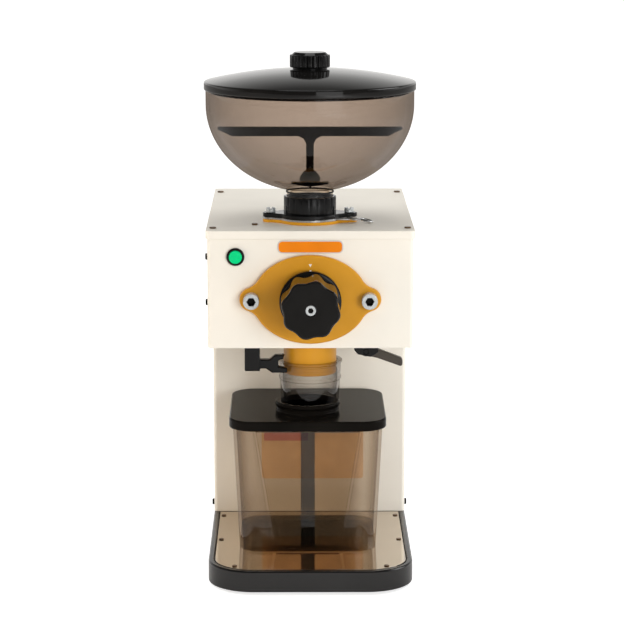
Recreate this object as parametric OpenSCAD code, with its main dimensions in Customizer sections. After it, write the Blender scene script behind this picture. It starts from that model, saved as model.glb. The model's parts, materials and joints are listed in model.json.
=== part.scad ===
// Electric coffee grinder: a hopper over a flat-burr mill, a motor in the head, a spout and a container.
// Millimetres. X runs to the right, Y to the back and Z up.
// The origin is on the floor, under the middle of the base.

/* [Base] */
// How far the base stands out beyond each side of the column
base_over = 0; // [0:1:12]
// Depth of the base
base_d = 300; // [296:1:330]
// Height of the base frame
base_h = 17; // [14:0.5:24]
// Corner radius at the front of the base
base_front_r = 36; // [24:1:48]
// Corner radius at the back of the base
base_rear_r = 8; // [4:1:14]
// Width of the black rim round the tray plate
tray_rim = 5; // [3:0.5:7]
// Thickness of the polished tray plate
tray_t = 1.2; // [0.8:0.1:2]
// Radius of a rubber foot
foot_r = 9; // [6:0.5:11]
// Height of the rubber feet under the base
foot_h = 2.5; // [1.5:0.1:5]

/* [Column and head] */
// Width of the column and the head
body_w = 160; // [154:1:166]
// Sheet thickness of the column and the head
sheet_t = 1.5; // [1:0.1:2]
// Bend radius of the sheet, outside
bend_r = 3; // [2.5:0.25:5]
// Depth of the column
column_d = 121.5; // [115:0.5:126]
// Height of the column
column_h = 164.8; // [162:0.2:180]
// Depth of the head
head_d = 245; // [241:0.5:246]
// Height of the head, with its cover
head_h = 92.5; // [91:0.5:110]
// Height of the cover's turned-down lip
lip_h = 6.6; // [5:0.2:10]
// Thickness of the cover
cover_t = 1.2; // [0.8:0.1:1.6]

/* [Mill] */
// Height of the mill axis above the underside of the head
axis_up = 39.2; // [38.8:0.1:44]
// Half-width of the burr cover
cover_a = 45; // [42:0.5:48]
// Half-height of the burr cover
cover_b = 34.8; // [33:0.2:37]
// Thickness of the burr cover
mill_cover_t = 6; // [5:0.5:8]
// Radius of the hollow between the burr cover and its ears
cover_blend = 14; // [6:1:20]
// Distance of a cover bolt from the mill axis
bolt_x = 45.8; // [45:0.2:50]
// Radius of a cover bolt's head
bolt_head_r = 6.2; // [5:0.1:7]
// Outer radius of the burrs
burr_r = 30; // [28:0.5:31]
// Thickness of a burr
burr_t = 6; // [5:0.25:6.5]
// Gap between the burrs at rest
burr_gap = 1; // [0.8:0.1:1.4]
// Radius of the motor shaft
shaft_r = 6; // [5:0.25:6.5]
// Outer radius of the feed auger
auger_r = 14; // [13:0.25:14.5]
// Pitch of the feed auger
auger_pitch = 15; // [11:1:20]
// Distance of the hopper neck behind the face of the head
neck_in = 50.1; // [50:0.1:52]
// Distance of the chute behind the face of the head
chute_in = 41.5; // [40:0.1:43]
// Outer radius of the grounds chute
chute_r = 21; // [18:0.1:22]
// Height of the chute below the head
chute_drop = 27.3; // [24:0.1:30]

/* [Knob and button] */
// Radius of the adjusting knob over its lobes
knob_r = 23; // [19:0.5:26]
// Length of the adjusting knob
knob_l = 42.5; // [32:0.5:43]
// Number of lobes on the adjusting knob
knob_lobes = 8; // [6:1:12]
// Depth of the valleys between the knob's lobes
lobe_deep = 1.9; // [1:0.1:2.6]
// Radius of the adjusting spindle
spindle_r = 6; // [5:0.25:7]
// Radius of the button's bezel
bezel_r = 7; // [6.8:0.1:9]
// Radius of the power button
button_r = 5; // [4:0.1:5.2]
// Travel of the power button
button_travel = 2; // [1:0.25:3]

/* [Hopper] */
// Outer radius of the hopper bowl
bowl_r = 82; // [72:0.5:90]
// Depth of the bowl's round bottom
bowl_depth = 68.8; // [60:0.2:76]
// Wall of the hopper bowl
bowl_wall = 2.5; // [2:0.1:3.5]
// Height of the bowl's straight band above its round bottom
bowl_band = 11.4; // [6:0.1:16]
// Outer radius of the hopper neck
neck_r = 18.2; // [17.5:0.1:20]
// Rise of the lid's dome
lid_rise = 9.9; // [5:0.1:14]
// Thickness of the lid
lid_t = 2.4; // [1.8:0.1:3]
// Height of the hopper neck, from the flange to the bowl
neck_h = 18.6; // [16:0.2:22]
// Radius of the lid's knob
lid_knob_r = 15.8; // [12:0.1:20]
// Height of the lid's knob
lid_knob_h = 13.2; // [10:0.1:20]
// Width of the bean guard's bar
guard_w = 146; // [110:1:150]

/* [Spout and levers] */
// Outer radius of the spout's body at its top
spout_r = 24.6; // [24:0.1:26]
// Radius of the spout's rim
spout_rim_r = 25.6; // [25.4:0.1:27]
// How far the spout reaches up over the chute
spout_lap = 10.4; // [8:0.1:12]
// Length of the spout
spout_l = 33; // [31:0.1:36]

/* [Container] */
// Place of the container to the right of the middle
box_x = -2; // [-4:0.5:4]
// Width of the container at its top
box_w = 118.4; // [104:0.2:124]
// Depth of the container at its top
box_d = 119.4; // [112:0.2:121]
// Draft of each container wall from top to bottom
box_draft = 5; // [2:0.5:7]
// Wall of the container
box_wall = 2.5; // [1.8:0.1:3.5]
// Depth of the finger recess at its top
recess_d = 16; // [10:0.5:20]
// Width of the grip bar in the recess
grip_w = 11; // [8:0.5:14]
// Overhang of the container lid
lid_over = 2.6; // [2:0.1:4]
// Height of the container lid
lid_h = 7.9; // [6.5:0.1:10]

/* [Hidden] */
$fn = 64;
// Clearances
fit = 0.05;
seat = 0.2;
slip = 0.3;

// Base and column
base_w = body_w + 2 * base_over;
base_top = foot_h + base_h;
back_in = 1.5;
head_back = base_d / 2 - back_in;
head_front = head_back - head_d;
col_front = head_back - column_d;
tray_gap = 1;
tray_back = col_front - tray_gap;
tray_top = base_top;
tray_front = -base_d / 2 + tray_rim;
foot_in = 22;
foot_x = base_w / 2 - foot_in;
foot_y = base_d / 2 - foot_in;
flange_w = 14;
lug_h = 14;
lug_w = 8;
lug_d = 10;
lug_y = col_front + bend_r + fit;
side_screw_y = lug_y + lug_d / 2;
side_screw_up = 6.5;
side_screw_z = base_top + side_screw_up;
bolt_r = 2.5;
column_bolt_x = body_w / 2 - sheet_t - flange_w / 2;
column_bolt_in = 24;
column_bolt_y = [col_front + column_bolt_in, head_back - column_bolt_in];
tab = 12;

// Head and its cover
head_z0 = base_top + column_h;
cover_top = head_z0 + head_h;
wall_top = cover_top - cover_t;
floor_top = head_z0 + sheet_t;
axis_z = head_z0 + axis_up;
wall_in = head_front + sheet_t;
inner_x = body_w / 2 - sheet_t;
cover_gap = 0.1;
cover_out = cover_gap + cover_t;
cover_screw_front = 13.5;
cover_screw_back = 24;
cover_screw_side = 2.6;
cover_screws = [
    for (s = [-1, 1], y = [head_front + cover_screw_front, head_back - cover_screw_back])
        [s * (inner_x - cover_screw_side), y]
];
earth_screw_left = 43.5;
earth_screw_in = 31.3;
earth_screw = [-earth_screw_left, head_front + earth_screw_in];
side_screw_low = 4.7;
side_screw_high = 31.4;
side_screws_z = [axis_z - side_screw_low, axis_z + side_screw_high];
side_screw_in = 12;
name_plate_w = 51;
name_plate_t = 1;
name_room = cover_top - lip_h - axis_z - cover_b;
name_plate_full = 10.2;
name_gap = 0.5;
name_plate_h = min(name_plate_full, name_room - 2 * name_gap);
name_plate_z = axis_z + cover_b + name_room / 2;
button_in = 22;
button_down = 20.2;
button_x = -body_w / 2 + button_in;
button_z = cover_top - button_down;
bezel_lip = 1;
barrel_r = bezel_r - bezel_lip;
barrel_l = 20;
barrel_bore_l = 17;
button_l = 14.5;
button_out = 4;

// Mill, from the front to the back
carrier_in = 1;
carrier_y0 = head_front + carrier_in;
carrier_t = 12;
carrier_over = 1;
carrier_r = burr_r + carrier_over;
chamber_gap = 3;
chamber_r = burr_r + chamber_gap;
drum_wall = 3.5;
fixed_y0 = carrier_y0 + carrier_t;
turn_y0 = fixed_y0 + burr_t + burr_gap;
disc_y0 = turn_y0 + burr_t;
disc_t = 5.5;
lug_t = 2.3;
lug_gap = 1;
chamber_back = disc_y0 + disc_t + lug_t + lug_gap;
end_wall = 4;
drum_back = chamber_back + end_wall;
eye_r = 14;
burr_screw_r = 1.5;
burr_screw_at = 22;
guide_x = 22;
guide_r = 2.5;
spindle_collar = 3;
spindle_collar_r = spindle_r + spindle_collar;
spindle_tail = 1.5;
spindle_tail_r = spindle_r + spindle_tail;
neck_y = head_front + neck_in;
inlet_bore = 13;
inlet_r = 15.5;
inlet_up = 27;
inlet_seat_z = axis_z + inlet_up;
tube_wall = 3;
auger_gap = 1;
tube_r = auger_r + auger_gap;
auger_tail = 7.4;
tube_back = neck_y + inlet_bore + auger_tail;
mill_back = tube_back + end_wall;
chute_y = head_front + chute_in;
chute_z0 = head_z0 - chute_drop;
chute_wall = 3;
chute_lap = 5;
chute_top = axis_z - chamber_r + chute_lap;
ear_r = 9.2;
ear_l = 12;
cover_face = head_front - mill_cover_t;
boss_l = 3;
boss_r = 13;
bolt_head_l = 9;
bolt_shank_r = 3;
knob_gap = 0.9;
knob_back = cover_face - boss_l - knob_gap;
knob_front = knob_back - knob_l;
skirt_l = 6;
lobe_turn = 32;
lobe_steps = 16;
spindle_in = 18;
spindle_front = knob_back - spindle_in;

// Motor
motor_r = 36;
nose_l = 18;
bell_l = 12;
bell_wall = 3;
stator_l = 80;
rotor_r = 20;
bell_y0 = mill_back + nose_l;
stator_y0 = bell_y0 + bell_l;
stator_y1 = stator_y0 + stator_l;
bell_y1 = stator_y1 + bell_l;
bearing_r = 16;
bearing_l = 10;
fan_gap = 3;
fan_y0 = bell_y1 + fan_gap;
fan_l = 11;
fan_r = 31;
shaft_out = 3;
shaft_y0 = turn_y0 + shaft_out;
shaft_y1 = fan_y0 + fan_l + shaft_out;
cradle_w = 84;
cradle_l = 60;

// Neck stack on the cover
neck_flange_t = 2.5;
guide_t = 1.6;
gate_t = 1;
black_flange_t = 3.4;
guide_z = cover_top + neck_flange_t;
black_z = guide_z + guide_t;
collar_z = black_z + black_flange_t;
collar_h = 13.2;
collar_wall = 2.6;
collar_r = neck_r + collar_wall;
thumb_x = 31;
thumb_r = 2;
lobe_r = 25;
gate_lap = 1;
gate_half = inlet_bore + gate_lap;
gate_travel = 2 * inlet_bore + 3 * gate_lap;
eyelet_r = 5.2;
eyelet_hole = 2.6;
ring_r = 4.8;
ring_wire = 0.8;

// Hopper
bowl_low = collar_z + neck_h;
bowl_mid = bowl_low + bowl_depth * sin(acos(neck_r / bowl_r));
bowl_top = bowl_mid + bowl_band;
neck_wall = 2.7;
bore_r = neck_r - neck_wall;
lid_lap = 1.3;
lid_r = bowl_r + lid_lap;
lid_z = bowl_top + slip;
lid_edge = 6.3;
spigot_gap = 0.8;
spigot_r = bowl_r - bowl_wall - spigot_gap;
spigot_h = 4;
dome_z = lid_z + lid_edge;
knob_waist = 2.2;
knob_seat_r = lid_knob_r - knob_waist;
guard_down = 25.2;
guard_z = bowl_mid - guard_down;
guard_h = 7.3;
guard_t = 6;
hub_r = 8.2;
bowl_in_low = bowl_mid - (bowl_depth - bowl_wall) * sin(acos(bore_r / (bowl_r - bowl_wall)));
hub_up = 0.3;
hub_z = bowl_in_low + hub_up;
hub_h = 12;

// Spout, clip and lever
spout_room = 13;
spout_top = min(chute_z0 + spout_lap, head_z0 - spout_room);
spout_z0 = spout_top - spout_l;
rim_t = 1.7;
clip_x = -45.7;
clip_in = 16;
clip_y = chute_y - clip_in;
clip_w = 12;
clip_d = 15;
mount_t = 2;
arm_down = 3.9;
arm_z0 = spout_top - arm_down;
clip_foot = 1.5;
clip_z0 = arm_z0 - clip_foot;
arm_h = 7.3;
arm_w = 7;
pin_r = 2;
pin_head_r = 3.2;
pin_head_h = 1.5;
lever_x = 44;
lever_in = 24.5;
lever_y = head_front + lever_in;
lever_down = 6.3;
lever_z = head_z0 - lever_down;
lever_w = 6.4;
lever_hub = 4.5;
cheek_t = 3;
cheek_gap = 10;
bracket_w = 19;
bracket_t = 1;
hammer_t = 2.5;
hammer_gap = 1.2;

// Container
box_z0 = base_top + slip;
spout_up = 12.1;
box_top = spout_z0 - spout_up;
column_gap = 7.5;
box_back = col_front - column_gap;
box_y = box_back - box_d / 2;
box_low_w = box_w - 2 * box_draft;
box_low_d = box_d - 2 * box_draft;
box_corner = 17;
box_floor = 3;
recess_w = 82;
recess_low_w = 50;
recess_low_d = 4;
recess_down = 5;
recess_top = box_top - recess_down;
recess_up = 2;
recess_z0 = box_z0 + recess_up;
lid_skirt = 3.7;
lid_bottom = box_top - lid_skirt;
lid_top = lid_bottom + lid_h;
spout_gap = 0.5;
collar_top = spout_z0 - spout_gap;
lid_collar_r = 26;
lid_hole_r = 21;

// Mains inlet and capacitor
mains_up = 26;
mains_z = base_top + mains_up;
mains_w = 30;
mains_h = 22;
mains_l = 22;
capacitor_r = 17;
capacitor_h = 70;

// Outline in plan, centred, with its own front and back corner radii
module plan(w, d, rf, rb) {
    translate([-w / 2, -d / 2 + rf]) square([w, d - rf - rb]);
    translate([-w / 2 + rf, -d / 2]) square([w - 2 * rf, d / 2]);
    translate([-w / 2 + rb, 0]) square([w - 2 * rb, d / 2]);
    for (s = [-1, 1]) {
        translate([s * (w / 2 - rf), -d / 2 + rf]) circle(r = rf);
        translate([s * (w / 2 - rb), d / 2 - rb]) circle(r = rb);
    }
}

// Outline in plan with round front corners and a square back
module bent_plan(w, y0, y1, r) {
    translate([-w / 2, y0 + r]) square([w, y1 - y0 - r]);
    translate([-w / 2 + r, y0]) square([w - 2 * r, 2 * r]);
    for (s = [-1, 1]) translate([s * (w / 2 - r), y0 + r]) circle(r = r);
}

// Round bar along Y, and a sheet drawn in XZ with a thickness along Y
module bar_y(r, y0, y1) {
    translate([0, y0, 0]) rotate([-90, 0, 0]) cylinder(r = r, h = y1 - y0);
}
module tube_y(ro, ri, y0, y1) {
    difference() {
        bar_y(ro, y0, y1);
        bar_y(ri, y0 - 1, y1 + 1);
    }
}
module slab_y(y0, y1) {
    translate([0, y1, 0]) rotate([90, 0, 0]) linear_extrude(y1 - y0) children();
}

// Screw pointing along -Z from its seat: a head above the seat and a shank below
module screw(head_r, head_h, shank_r, shank_l) {
    cylinder(r = head_r, h = head_h);
    translate([0, 0, -shank_l]) cylinder(r = shank_r, h = shank_l + head_h / 2);
}

module at_cover_screws() {
    for (p = cover_screws) translate([p[0], p[1], cover_top]) children();
}
module at_tray_screws() {
    corner = [base_w / 2 - base_front_r, -base_d / 2 + base_front_r];
    reach = base_front_r - tray_rim - 4.8;
    side_x = base_w / 2 - tray_rim - 3.5;
    places = [
        [side_x, tray_back - 12.5],
        [side_x, (tray_back + tray_front) / 2],
        [corner[0] + reach * cos(55), corner[1] - reach * sin(55)],
    ];
    for (s = [-1, 1], p = places) translate([s * p[0], p[1], tray_top]) children();
}
module at_feet() {
    for (x = [-1, 1], y = [-1, 1]) translate([x * foot_x, y * foot_y, 0]) children();
}
module at_column_bolts(z) {
    for (s = [-1, 1], y = column_bolt_y) translate([s * column_bolt_x, y, z]) children();
}
// Screws that go into the right and left side of the column's foot, pointing inwards
module at_column_side() {
    for (s = [0, 1]) mirror([s, 0, 0]) translate([body_w / 2, side_screw_y, side_screw_z]) {
        rotate([0, 90, 0]) children();
    }
}
// Screws in the left side of the head
module at_head_side() {
    for (z = side_screws_z) {
        translate([-body_w / 2, head_front + side_screw_in, z]) rotate([0, -90, 0]) children();
    }
}
// Screws in the two rear panels, pointing forwards
module at_rear(z_list) {
    for (s = [-1, 1], z = z_list) {
        translate([s * (inner_x - tab / 2), head_back, z]) rotate([-90, 0, 0]) children();
    }
}
rear_head_z = [floor_top + 16, wall_top - 24];
rear_column_z = [base_top + 40, head_z0 - 24];

// Base

module tray_outline(gap) {
    inset = tray_rim + gap;
    intersection() {
        plan(base_w - 2 * inset, base_d - 2 * inset, base_front_r - inset, 1);
        translate([-base_w, -base_d]) square([2 * base_w, base_d + tray_back - gap]);
    }
}

module base_frame() {
    color("#1c1c1e") difference() {
        union() {
            translate([0, 0, foot_h]) linear_extrude(base_h) plan(base_w, base_d, base_front_r, base_rear_r);
            for (s = [0, 1]) mirror([s, 0, 0]) {
                translate([inner_x - lug_w - fit, lug_y, base_top - 1]) {
                    cube([lug_w, lug_d, lug_h + 1]);
                }
            }
        }
        translate([0, 0, tray_top - tray_t]) linear_extrude(tray_t + 1) tray_outline(0);
        at_tray_screws() translate([0, 0, -9]) cylinder(r = 1.3, h = 9);
        at_feet() cylinder(r = 3 + fit, h = foot_h + 7);
        at_column_bolts(base_top) translate([0, 0, -13]) cylinder(r = bolt_r + fit, h = 14);
        at_column_side() translate([0, 0, -9.5]) cylinder(r = 1.5 + fit, h = 10);
    }
}

module tray_plate() {
    color("#b9b2a8") difference() {
        translate([0, 0, tray_top - tray_t]) linear_extrude(tray_t) tray_outline(seat);
        at_tray_screws() translate([0, 0, -tray_t - 1]) cylinder(r = 1.5, h = tray_t + 2);
    }
}

module steel_screws() {
    color("#8f8d88") {
        at_tray_screws() screw(2, 0.8, 1.2, 8);
        at_cover_screws() screw(2.6, 1.2, 1.5, 5);
        translate([earth_screw[0], earth_screw[1], cover_top]) screw(2.3, 1.4, 1.5, 5);
    }
}

module rubber_feet() {
    color("#141414") at_feet() {
        cylinder(r = foot_r, h = foot_h);
        cylinder(r = 3, h = foot_h + 6);
    }
}

// Column

module side_flanges(z) {
    y0 = lug_y + lug_d + 1;
    y1 = head_back - 2 * sheet_t - 1;
    for (s = [0, 1]) mirror([s, 0, 0]) {
        translate([inner_x - flange_w, y0, z]) cube([flange_w + sheet_t / 2, y1 - y0, sheet_t]);
    }
}
// Tabs that the rear panels screw to
module rear_tabs(z_list) {
    for (s = [0, 1]) mirror([s, 0, 0]) for (z = z_list) {
        translate([inner_x - tab, head_back - 2 * sheet_t, z - tab / 2]) {
            cube([tab + sheet_t / 2, sheet_t, tab]);
        }
    }
}

module column_shell() {
    color("#f2ead8") difference() {
        union() {
            translate([0, 0, base_top]) linear_extrude(column_h) difference() {
                bent_plan(body_w, col_front, head_back, bend_r);
                bent_plan(2 * inner_x, col_front + sheet_t, head_back + 1, bend_r - sheet_t);
            }
            side_flanges(base_top);
            side_flanges(head_z0 - sheet_t);
            rear_tabs(rear_column_z);
        }
        at_column_bolts(base_top) translate([0, 0, -1]) cylinder(r = bolt_r + fit, h = sheet_t + 2);
        at_column_bolts(head_z0) translate([0, 0, -sheet_t - 1]) cylinder(r = bolt_r + fit, h = sheet_t + 2);
        at_column_side() translate([0, 0, -sheet_t - 0.5]) cylinder(r = 1.6, h = sheet_t + 1);
        at_rear(rear_column_z) translate([0, 0, -2 * sheet_t - 1]) cylinder(r = 1.6, h = 2 * sheet_t + 1);
    }
}

module column_back_panel() {
    z0 = base_top + seat;
    color("#f2ead8") difference() {
        translate([-inner_x + seat, head_back - sheet_t, z0]) {
            cube([2 * (inner_x - seat), sheet_t, column_h - 2 * seat]);
        }
        at_rear(rear_column_z) translate([0, 0, -sheet_t - 1]) cylinder(r = 1.7, h = sheet_t + 2);
        translate([-mains_w / 2 - seat, head_back - sheet_t - 1, mains_z - mains_h / 2 - seat]) {
            cube([mains_w + 2 * seat, sheet_t + 2, mains_h + 2 * seat]);
        }
    }
}

module hex_bolt(l) {
    cylinder(r = 4.6, h = 3.5, $fn = 6);
    translate([0, 0, -l]) cylinder(r = bolt_r, h = l + 1);
}
module column_bolts() {
    color("#9a9a98") {
        at_column_bolts(base_top + sheet_t) hex_bolt(sheet_t + 12);
        at_column_bolts(floor_top) hex_bolt(2 * sheet_t + 7);
    }
}

module black_screws() {
    color("#161616") {
        at_column_side() screw(2.6, 1.8, 1.5, 8);
        at_head_side() screw(2.6, 1.8, 1.5, 5);
        at_rear(concat(rear_column_z, rear_head_z)) screw(2.6, 1.3, 1.5, 6);
    }
}

// Head

module head_front_holes() {
    translate([0, 0, axis_z]) {
        bar_y(chamber_r, head_front - 1, wall_in + 0.5);
        for (s = [-1, 1]) translate([s * bolt_x, 0, 0]) {
            bar_y(bolt_shank_r + slip, head_front - 1, wall_in + 0.5);
        }
    }
    translate([button_x, 0, button_z]) bar_y(barrel_r + seat, head_front - 1, wall_in + 0.5);
}

module head_shell() {
    color("#f2ead8") difference() {
        union() {
            difference() {
                translate([0, 0, head_z0]) linear_extrude(wall_top - head_z0) {
                    bent_plan(body_w, head_front, head_back, bend_r);
                }
                translate([0, 0, floor_top]) linear_extrude(head_h) {
                    bent_plan(2 * inner_x, wall_in, head_back + 1, bend_r - sheet_t);
                }
            }
            rear_tabs(rear_head_z);
            for (s = [0, 1]) mirror([s, 0, 0]) for (p = [cover_screws[0], cover_screws[1]]) {
                translate([inner_x - tab, p[1] - tab / 2, wall_top - sheet_t]) {
                    cube([tab + sheet_t / 2, tab, sheet_t]);
                }
            }
            at_head_side() translate([0, 0, -sheet_t - 4]) cylinder(r = 4, h = 5);
        }
        head_front_holes();
        translate([0, chute_y, head_z0 - 1]) cylinder(r = chute_r + 0.5, h = sheet_t + 2);
        translate([-30, head_back - 56, head_z0 - 1]) cube([60, 30, sheet_t + 2]);
        at_column_bolts(head_z0) translate([0, 0, -1]) cylinder(r = bolt_r + fit, h = sheet_t + 2);
        at_head_side() translate([0, 0, -sheet_t - 5]) cylinder(r = 1.5 + fit, h = sheet_t + 6);
        at_cover_screws() translate([0, 0, -6]) cylinder(r = 1.6, h = 6);
        at_rear(rear_head_z) translate([0, 0, -2 * sheet_t - 1]) cylinder(r = 1.6, h = 2 * sheet_t + 1);
    }
}

module head_top_cover() {
    mid = (head_front + head_back) / 2;
    color("#f4eddd") difference() {
        union() {
            translate([0, mid, cover_top - lip_h]) linear_extrude(lip_h) {
                plan(body_w + 2 * cover_out, head_d + 2 * cover_out, bend_r + cover_out, 1.5);
            }
            translate([earth_screw[0], earth_screw[1], wall_top - 3]) cylinder(r = 3.5, h = 3.5);
        }
        difference() {
            translate([0, mid, cover_top - lip_h - 1]) linear_extrude(lip_h - cover_t + 1) {
                plan(body_w + 2 * cover_gap, head_d + 2 * cover_gap, bend_r + cover_gap, 0.5);
            }
            translate([earth_screw[0], earth_screw[1], wall_top - 3]) cylinder(r = 3.5, h = 3.5);
        }
        translate([0, neck_y, wall_top - 1]) cylinder(r = inlet_r + 0.5, h = cover_t + 2);
        at_thumb_screws() translate([0, 0, -1]) cylinder(r = thumb_r + seat, h = cover_t + 2);
        at_cover_screws() translate([0, 0, -cover_t - 1]) cylinder(r = 1.7, h = cover_t + 2);
        translate([earth_screw[0], earth_screw[1], wall_top - 4]) cylinder(r = 1.6, h = cover_t + 5);
    }
}

module head_rear_panel() {
    z0 = floor_top + fit;
    slot_w = 44;
    color("#f2ead8") difference() {
        translate([-inner_x + seat, head_back - sheet_t, z0]) {
            cube([2 * (inner_x - seat), sheet_t, wall_top - z0 - seat]);
        }
        for (s = [-1, 1], i = [0:6]) {
            translate([s * 26 - slot_w / 2, head_back - sheet_t - 1, floor_top + 18 + 8 * i]) {
                cube([slot_w, sheet_t + 2, 3]);
            }
        }
        at_rear(rear_head_z) translate([0, 0, -sheet_t - 1]) cylinder(r = 1.7, h = sheet_t + 2);
    }
}

module name_plate() {
    corner = 0.41 * name_plate_h;
    color("#e8901c") translate([0, 0, name_plate_z]) slab_y(head_front - name_plate_t, head_front) {
        square([name_plate_w - 2 * corner, name_plate_h], center = true);
        square([name_plate_w, name_plate_h - 2 * corner], center = true);
        for (x = [-1, 1], z = [-1, 1]) {
            translate([x * (name_plate_w / 2 - corner), z * (name_plate_h / 2 - corner)]) circle(r = corner);
        }
    }
}

// Power button

module button_bezel() {
    color("#18181a") translate([button_x, 0, button_z]) difference() {
        union() {
            bar_y(bezel_r, head_front - 2.5, head_front);
            bar_y(barrel_r, head_front - 1, head_front + barrel_l);
            tube_y(barrel_r + 2.5, barrel_r, wall_in, wall_in + 3);
        }
        bar_y(button_r + slip, head_front - 3, head_front + barrel_bore_l);
    }
}
module power_button() {
    color("#0bd984") translate([button_x, 0, button_z]) difference() {
        bar_y(button_r, head_front - button_out, head_front - button_out + button_l);
        bar_y(button_r - 2, head_front - button_out + 5, head_front + button_l);
    }
}
module button_spring() {
    y1 = head_front + barrel_bore_l;
    y0 = head_front - button_out + 5 + button_travel + slip;
    color("#b8b8b8") translate([button_x, 0, button_z]) tube_y(button_r - 2.4, button_r - 3.2, y0, y1);
}

// Mill

module ellipse_plate(a, b) {
    polygon([for (i = [0:95]) [a * cos(i * 3.75), b * sin(i * 3.75)]]);
}

module burr_housing() {
    window_y0 = chute_y - chute_r + chute_wall;
    color("#d39a2b") difference() {
        union() {
            translate([0, 0, axis_z]) {
                bar_y(chamber_r + drum_wall, wall_in, drum_back);
                bar_y(tube_r + tube_wall, drum_back - 1, mill_back);
                for (s = [-1, 1]) {
                    translate([s * bolt_x, 0, 0]) bar_y(ear_r - 0.7, wall_in, wall_in + ear_l);
                    slab_y(wall_in, wall_in + ear_l) translate([s * bolt_x / 2, 0]) {
                        square([bolt_x, 12], center = true);
                    }
                }
            }
            translate([0, chute_y, chute_z0]) cylinder(r = chute_r, h = chute_top - chute_z0);
            translate([0, neck_y, axis_z]) cylinder(r = inlet_r + 3, h = inlet_seat_z + 12 - axis_z);
        }
        translate([0, 0, axis_z]) {
            bar_y(chamber_r, wall_in - 1, chamber_back);
            bar_y(tube_r, chamber_back - 1, tube_back);
            bar_y(shaft_r + slip, tube_back - 1, mill_back + 1);
            for (s = [-1, 1]) translate([s * bolt_x, 0, 0]) {
                bar_y(bolt_shank_r + fit, wall_in - 1, wall_in + ear_l + 1);
            }
        }
        translate([0, neck_y, axis_z]) cylinder(r = inlet_bore, h = inlet_seat_z - axis_z + 1);
        translate([0, neck_y, inlet_seat_z]) cylinder(r = inlet_r + 0.2, h = 20);
        translate([0, chute_y, chute_z0 - 1]) {
            cylinder(r = chute_r - chute_wall, h = floor_top - chute_z0);
        }
        intersection() {
            translate([0, chute_y, floor_top - 3]) {
                cylinder(r = chute_r - chute_wall, h = axis_z - burr_r + 8 - floor_top);
            }
            translate([-chute_r, window_y0, floor_top - 4]) {
                cube([2 * chute_r, chamber_back - 0.5 - window_y0, 40]);
            }
        }
    }
}

module burr_cover() {
    color("#d8a032") translate([0, 0, axis_z]) difference() {
        union() {
            slab_y(cover_face, head_front) offset(r = -cover_blend) offset(r = cover_blend) {
                ellipse_plate(cover_a, cover_b);
                for (s = [-1, 1]) translate([s * bolt_x, 0]) circle(r = ear_r);
            }
            bar_y(boss_r, cover_face - boss_l, cover_face + 1);
            for (s = [-1, 1]) translate([s * guide_x, 0, 0]) bar_y(guide_r, head_front - 1, fixed_y0 - 1.5);
        }
        bar_y(spindle_r + fit, cover_face - boss_l - 1, head_front + 1);
        for (s = [-1, 1]) translate([s * bolt_x, 0, 0]) {
            bar_y(bolt_shank_r + slip, cover_face - 1, head_front + 1);
        }
    }
}

module cover_bolts() {
    color("#b7bcc0") for (s = [-1, 1]) translate([s * bolt_x, 0, axis_z]) difference() {
        union() {
            bar_y(bolt_head_r, cover_face - bolt_head_l, cover_face);
            bar_y(bolt_shank_r, cover_face - 1, wall_in + ear_l - 1);
        }
        translate([0, cover_face - bolt_head_l - 1, 0]) rotate([-90, 0, 0]) cylinder(r = 3.4, h = 6, $fn = 6);
    }
}

module at_burr_screws() {
    for (i = [0:2]) rotate([0, 90 + 120 * i, 0]) translate([burr_screw_at, 0, 0]) children();
}

module burr_carrier() {
    color("#a9adb0") translate([0, 0, axis_z]) difference() {
        bar_y(carrier_r, carrier_y0, fixed_y0);
        bar_y(spindle_r + fit, carrier_y0 - 1, fixed_y0 + 1);
        bar_y(spindle_collar_r + 0.4, carrier_y0 - 1, carrier_y0 + 3);
        for (s = [-1, 1]) translate([s * guide_x, 0, 0]) bar_y(guide_r + 0.1, carrier_y0 - 1, fixed_y0 + 1);
        at_burr_screws() {
            bar_y(burr_screw_r + fit, carrier_y0 - 1, fixed_y0 + 1);
            bar_y(3.2, carrier_y0 - 1, carrier_y0 + 2.2);
        }
    }
}

// Burr with radial cutting grooves in one face, its screw holes in the other
module burr(y0, face_y, hole_y0, hole_y1) {
    teeth = 18;
    difference() {
        tube_y(burr_r, eye_r, y0, y0 + burr_t);
        for (i = [0:teeth - 1]) rotate([0, i * 360 / teeth, 0]) {
            translate([eye_r - 1, face_y - 1.2, -1]) rotate([0, 12, 0]) cube([burr_r, 2.4, 2]);
        }
        at_burr_screws() bar_y(burr_screw_r + fit, hole_y0, hole_y1);
    }
}
module stationary_burr() {
    color("#8d9296") translate([0, 0, axis_z]) {
        burr(fixed_y0, fixed_y0 + burr_t, fixed_y0 - 1, fixed_y0 + burr_t - 1.5);
    }
}
module rotating_burr() {
    color("#8d9296") translate([0, 0, axis_z]) burr(turn_y0, turn_y0, turn_y0 + 1.5, disc_y0 + 1);
}
module fixed_burr_screws() {
    color("#6f7376") translate([0, 0, axis_z]) at_burr_screws() {
        bar_y(3, carrier_y0 + seat, carrier_y0 + 2.2);
        bar_y(burr_screw_r, carrier_y0 + 2, fixed_y0 + burr_t - 2);
    }
}
module turning_burr_screws() {
    disc_back = disc_y0 + disc_t;
    color("#6f7376") translate([0, 0, axis_z]) at_burr_screws() {
        bar_y(3, disc_back - 2.2, disc_back - seat);
        bar_y(burr_screw_r, turn_y0 + 2, disc_back - 2);
    }
}

module adjust_spindle() {
    color("#9fa4a8") translate([0, 0, axis_z]) difference() {
        union() {
            bar_y(spindle_r, spindle_front, fixed_y0 + 1);
            bar_y(spindle_collar_r, carrier_y0 + 0.1, carrier_y0 + 2.7);
            bar_y(spindle_tail_r, fixed_y0 + slip, fixed_y0 + 1.5);
        }
        bar_y(2.2 + fit, spindle_front - 1, spindle_front + 10);
    }
}

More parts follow.
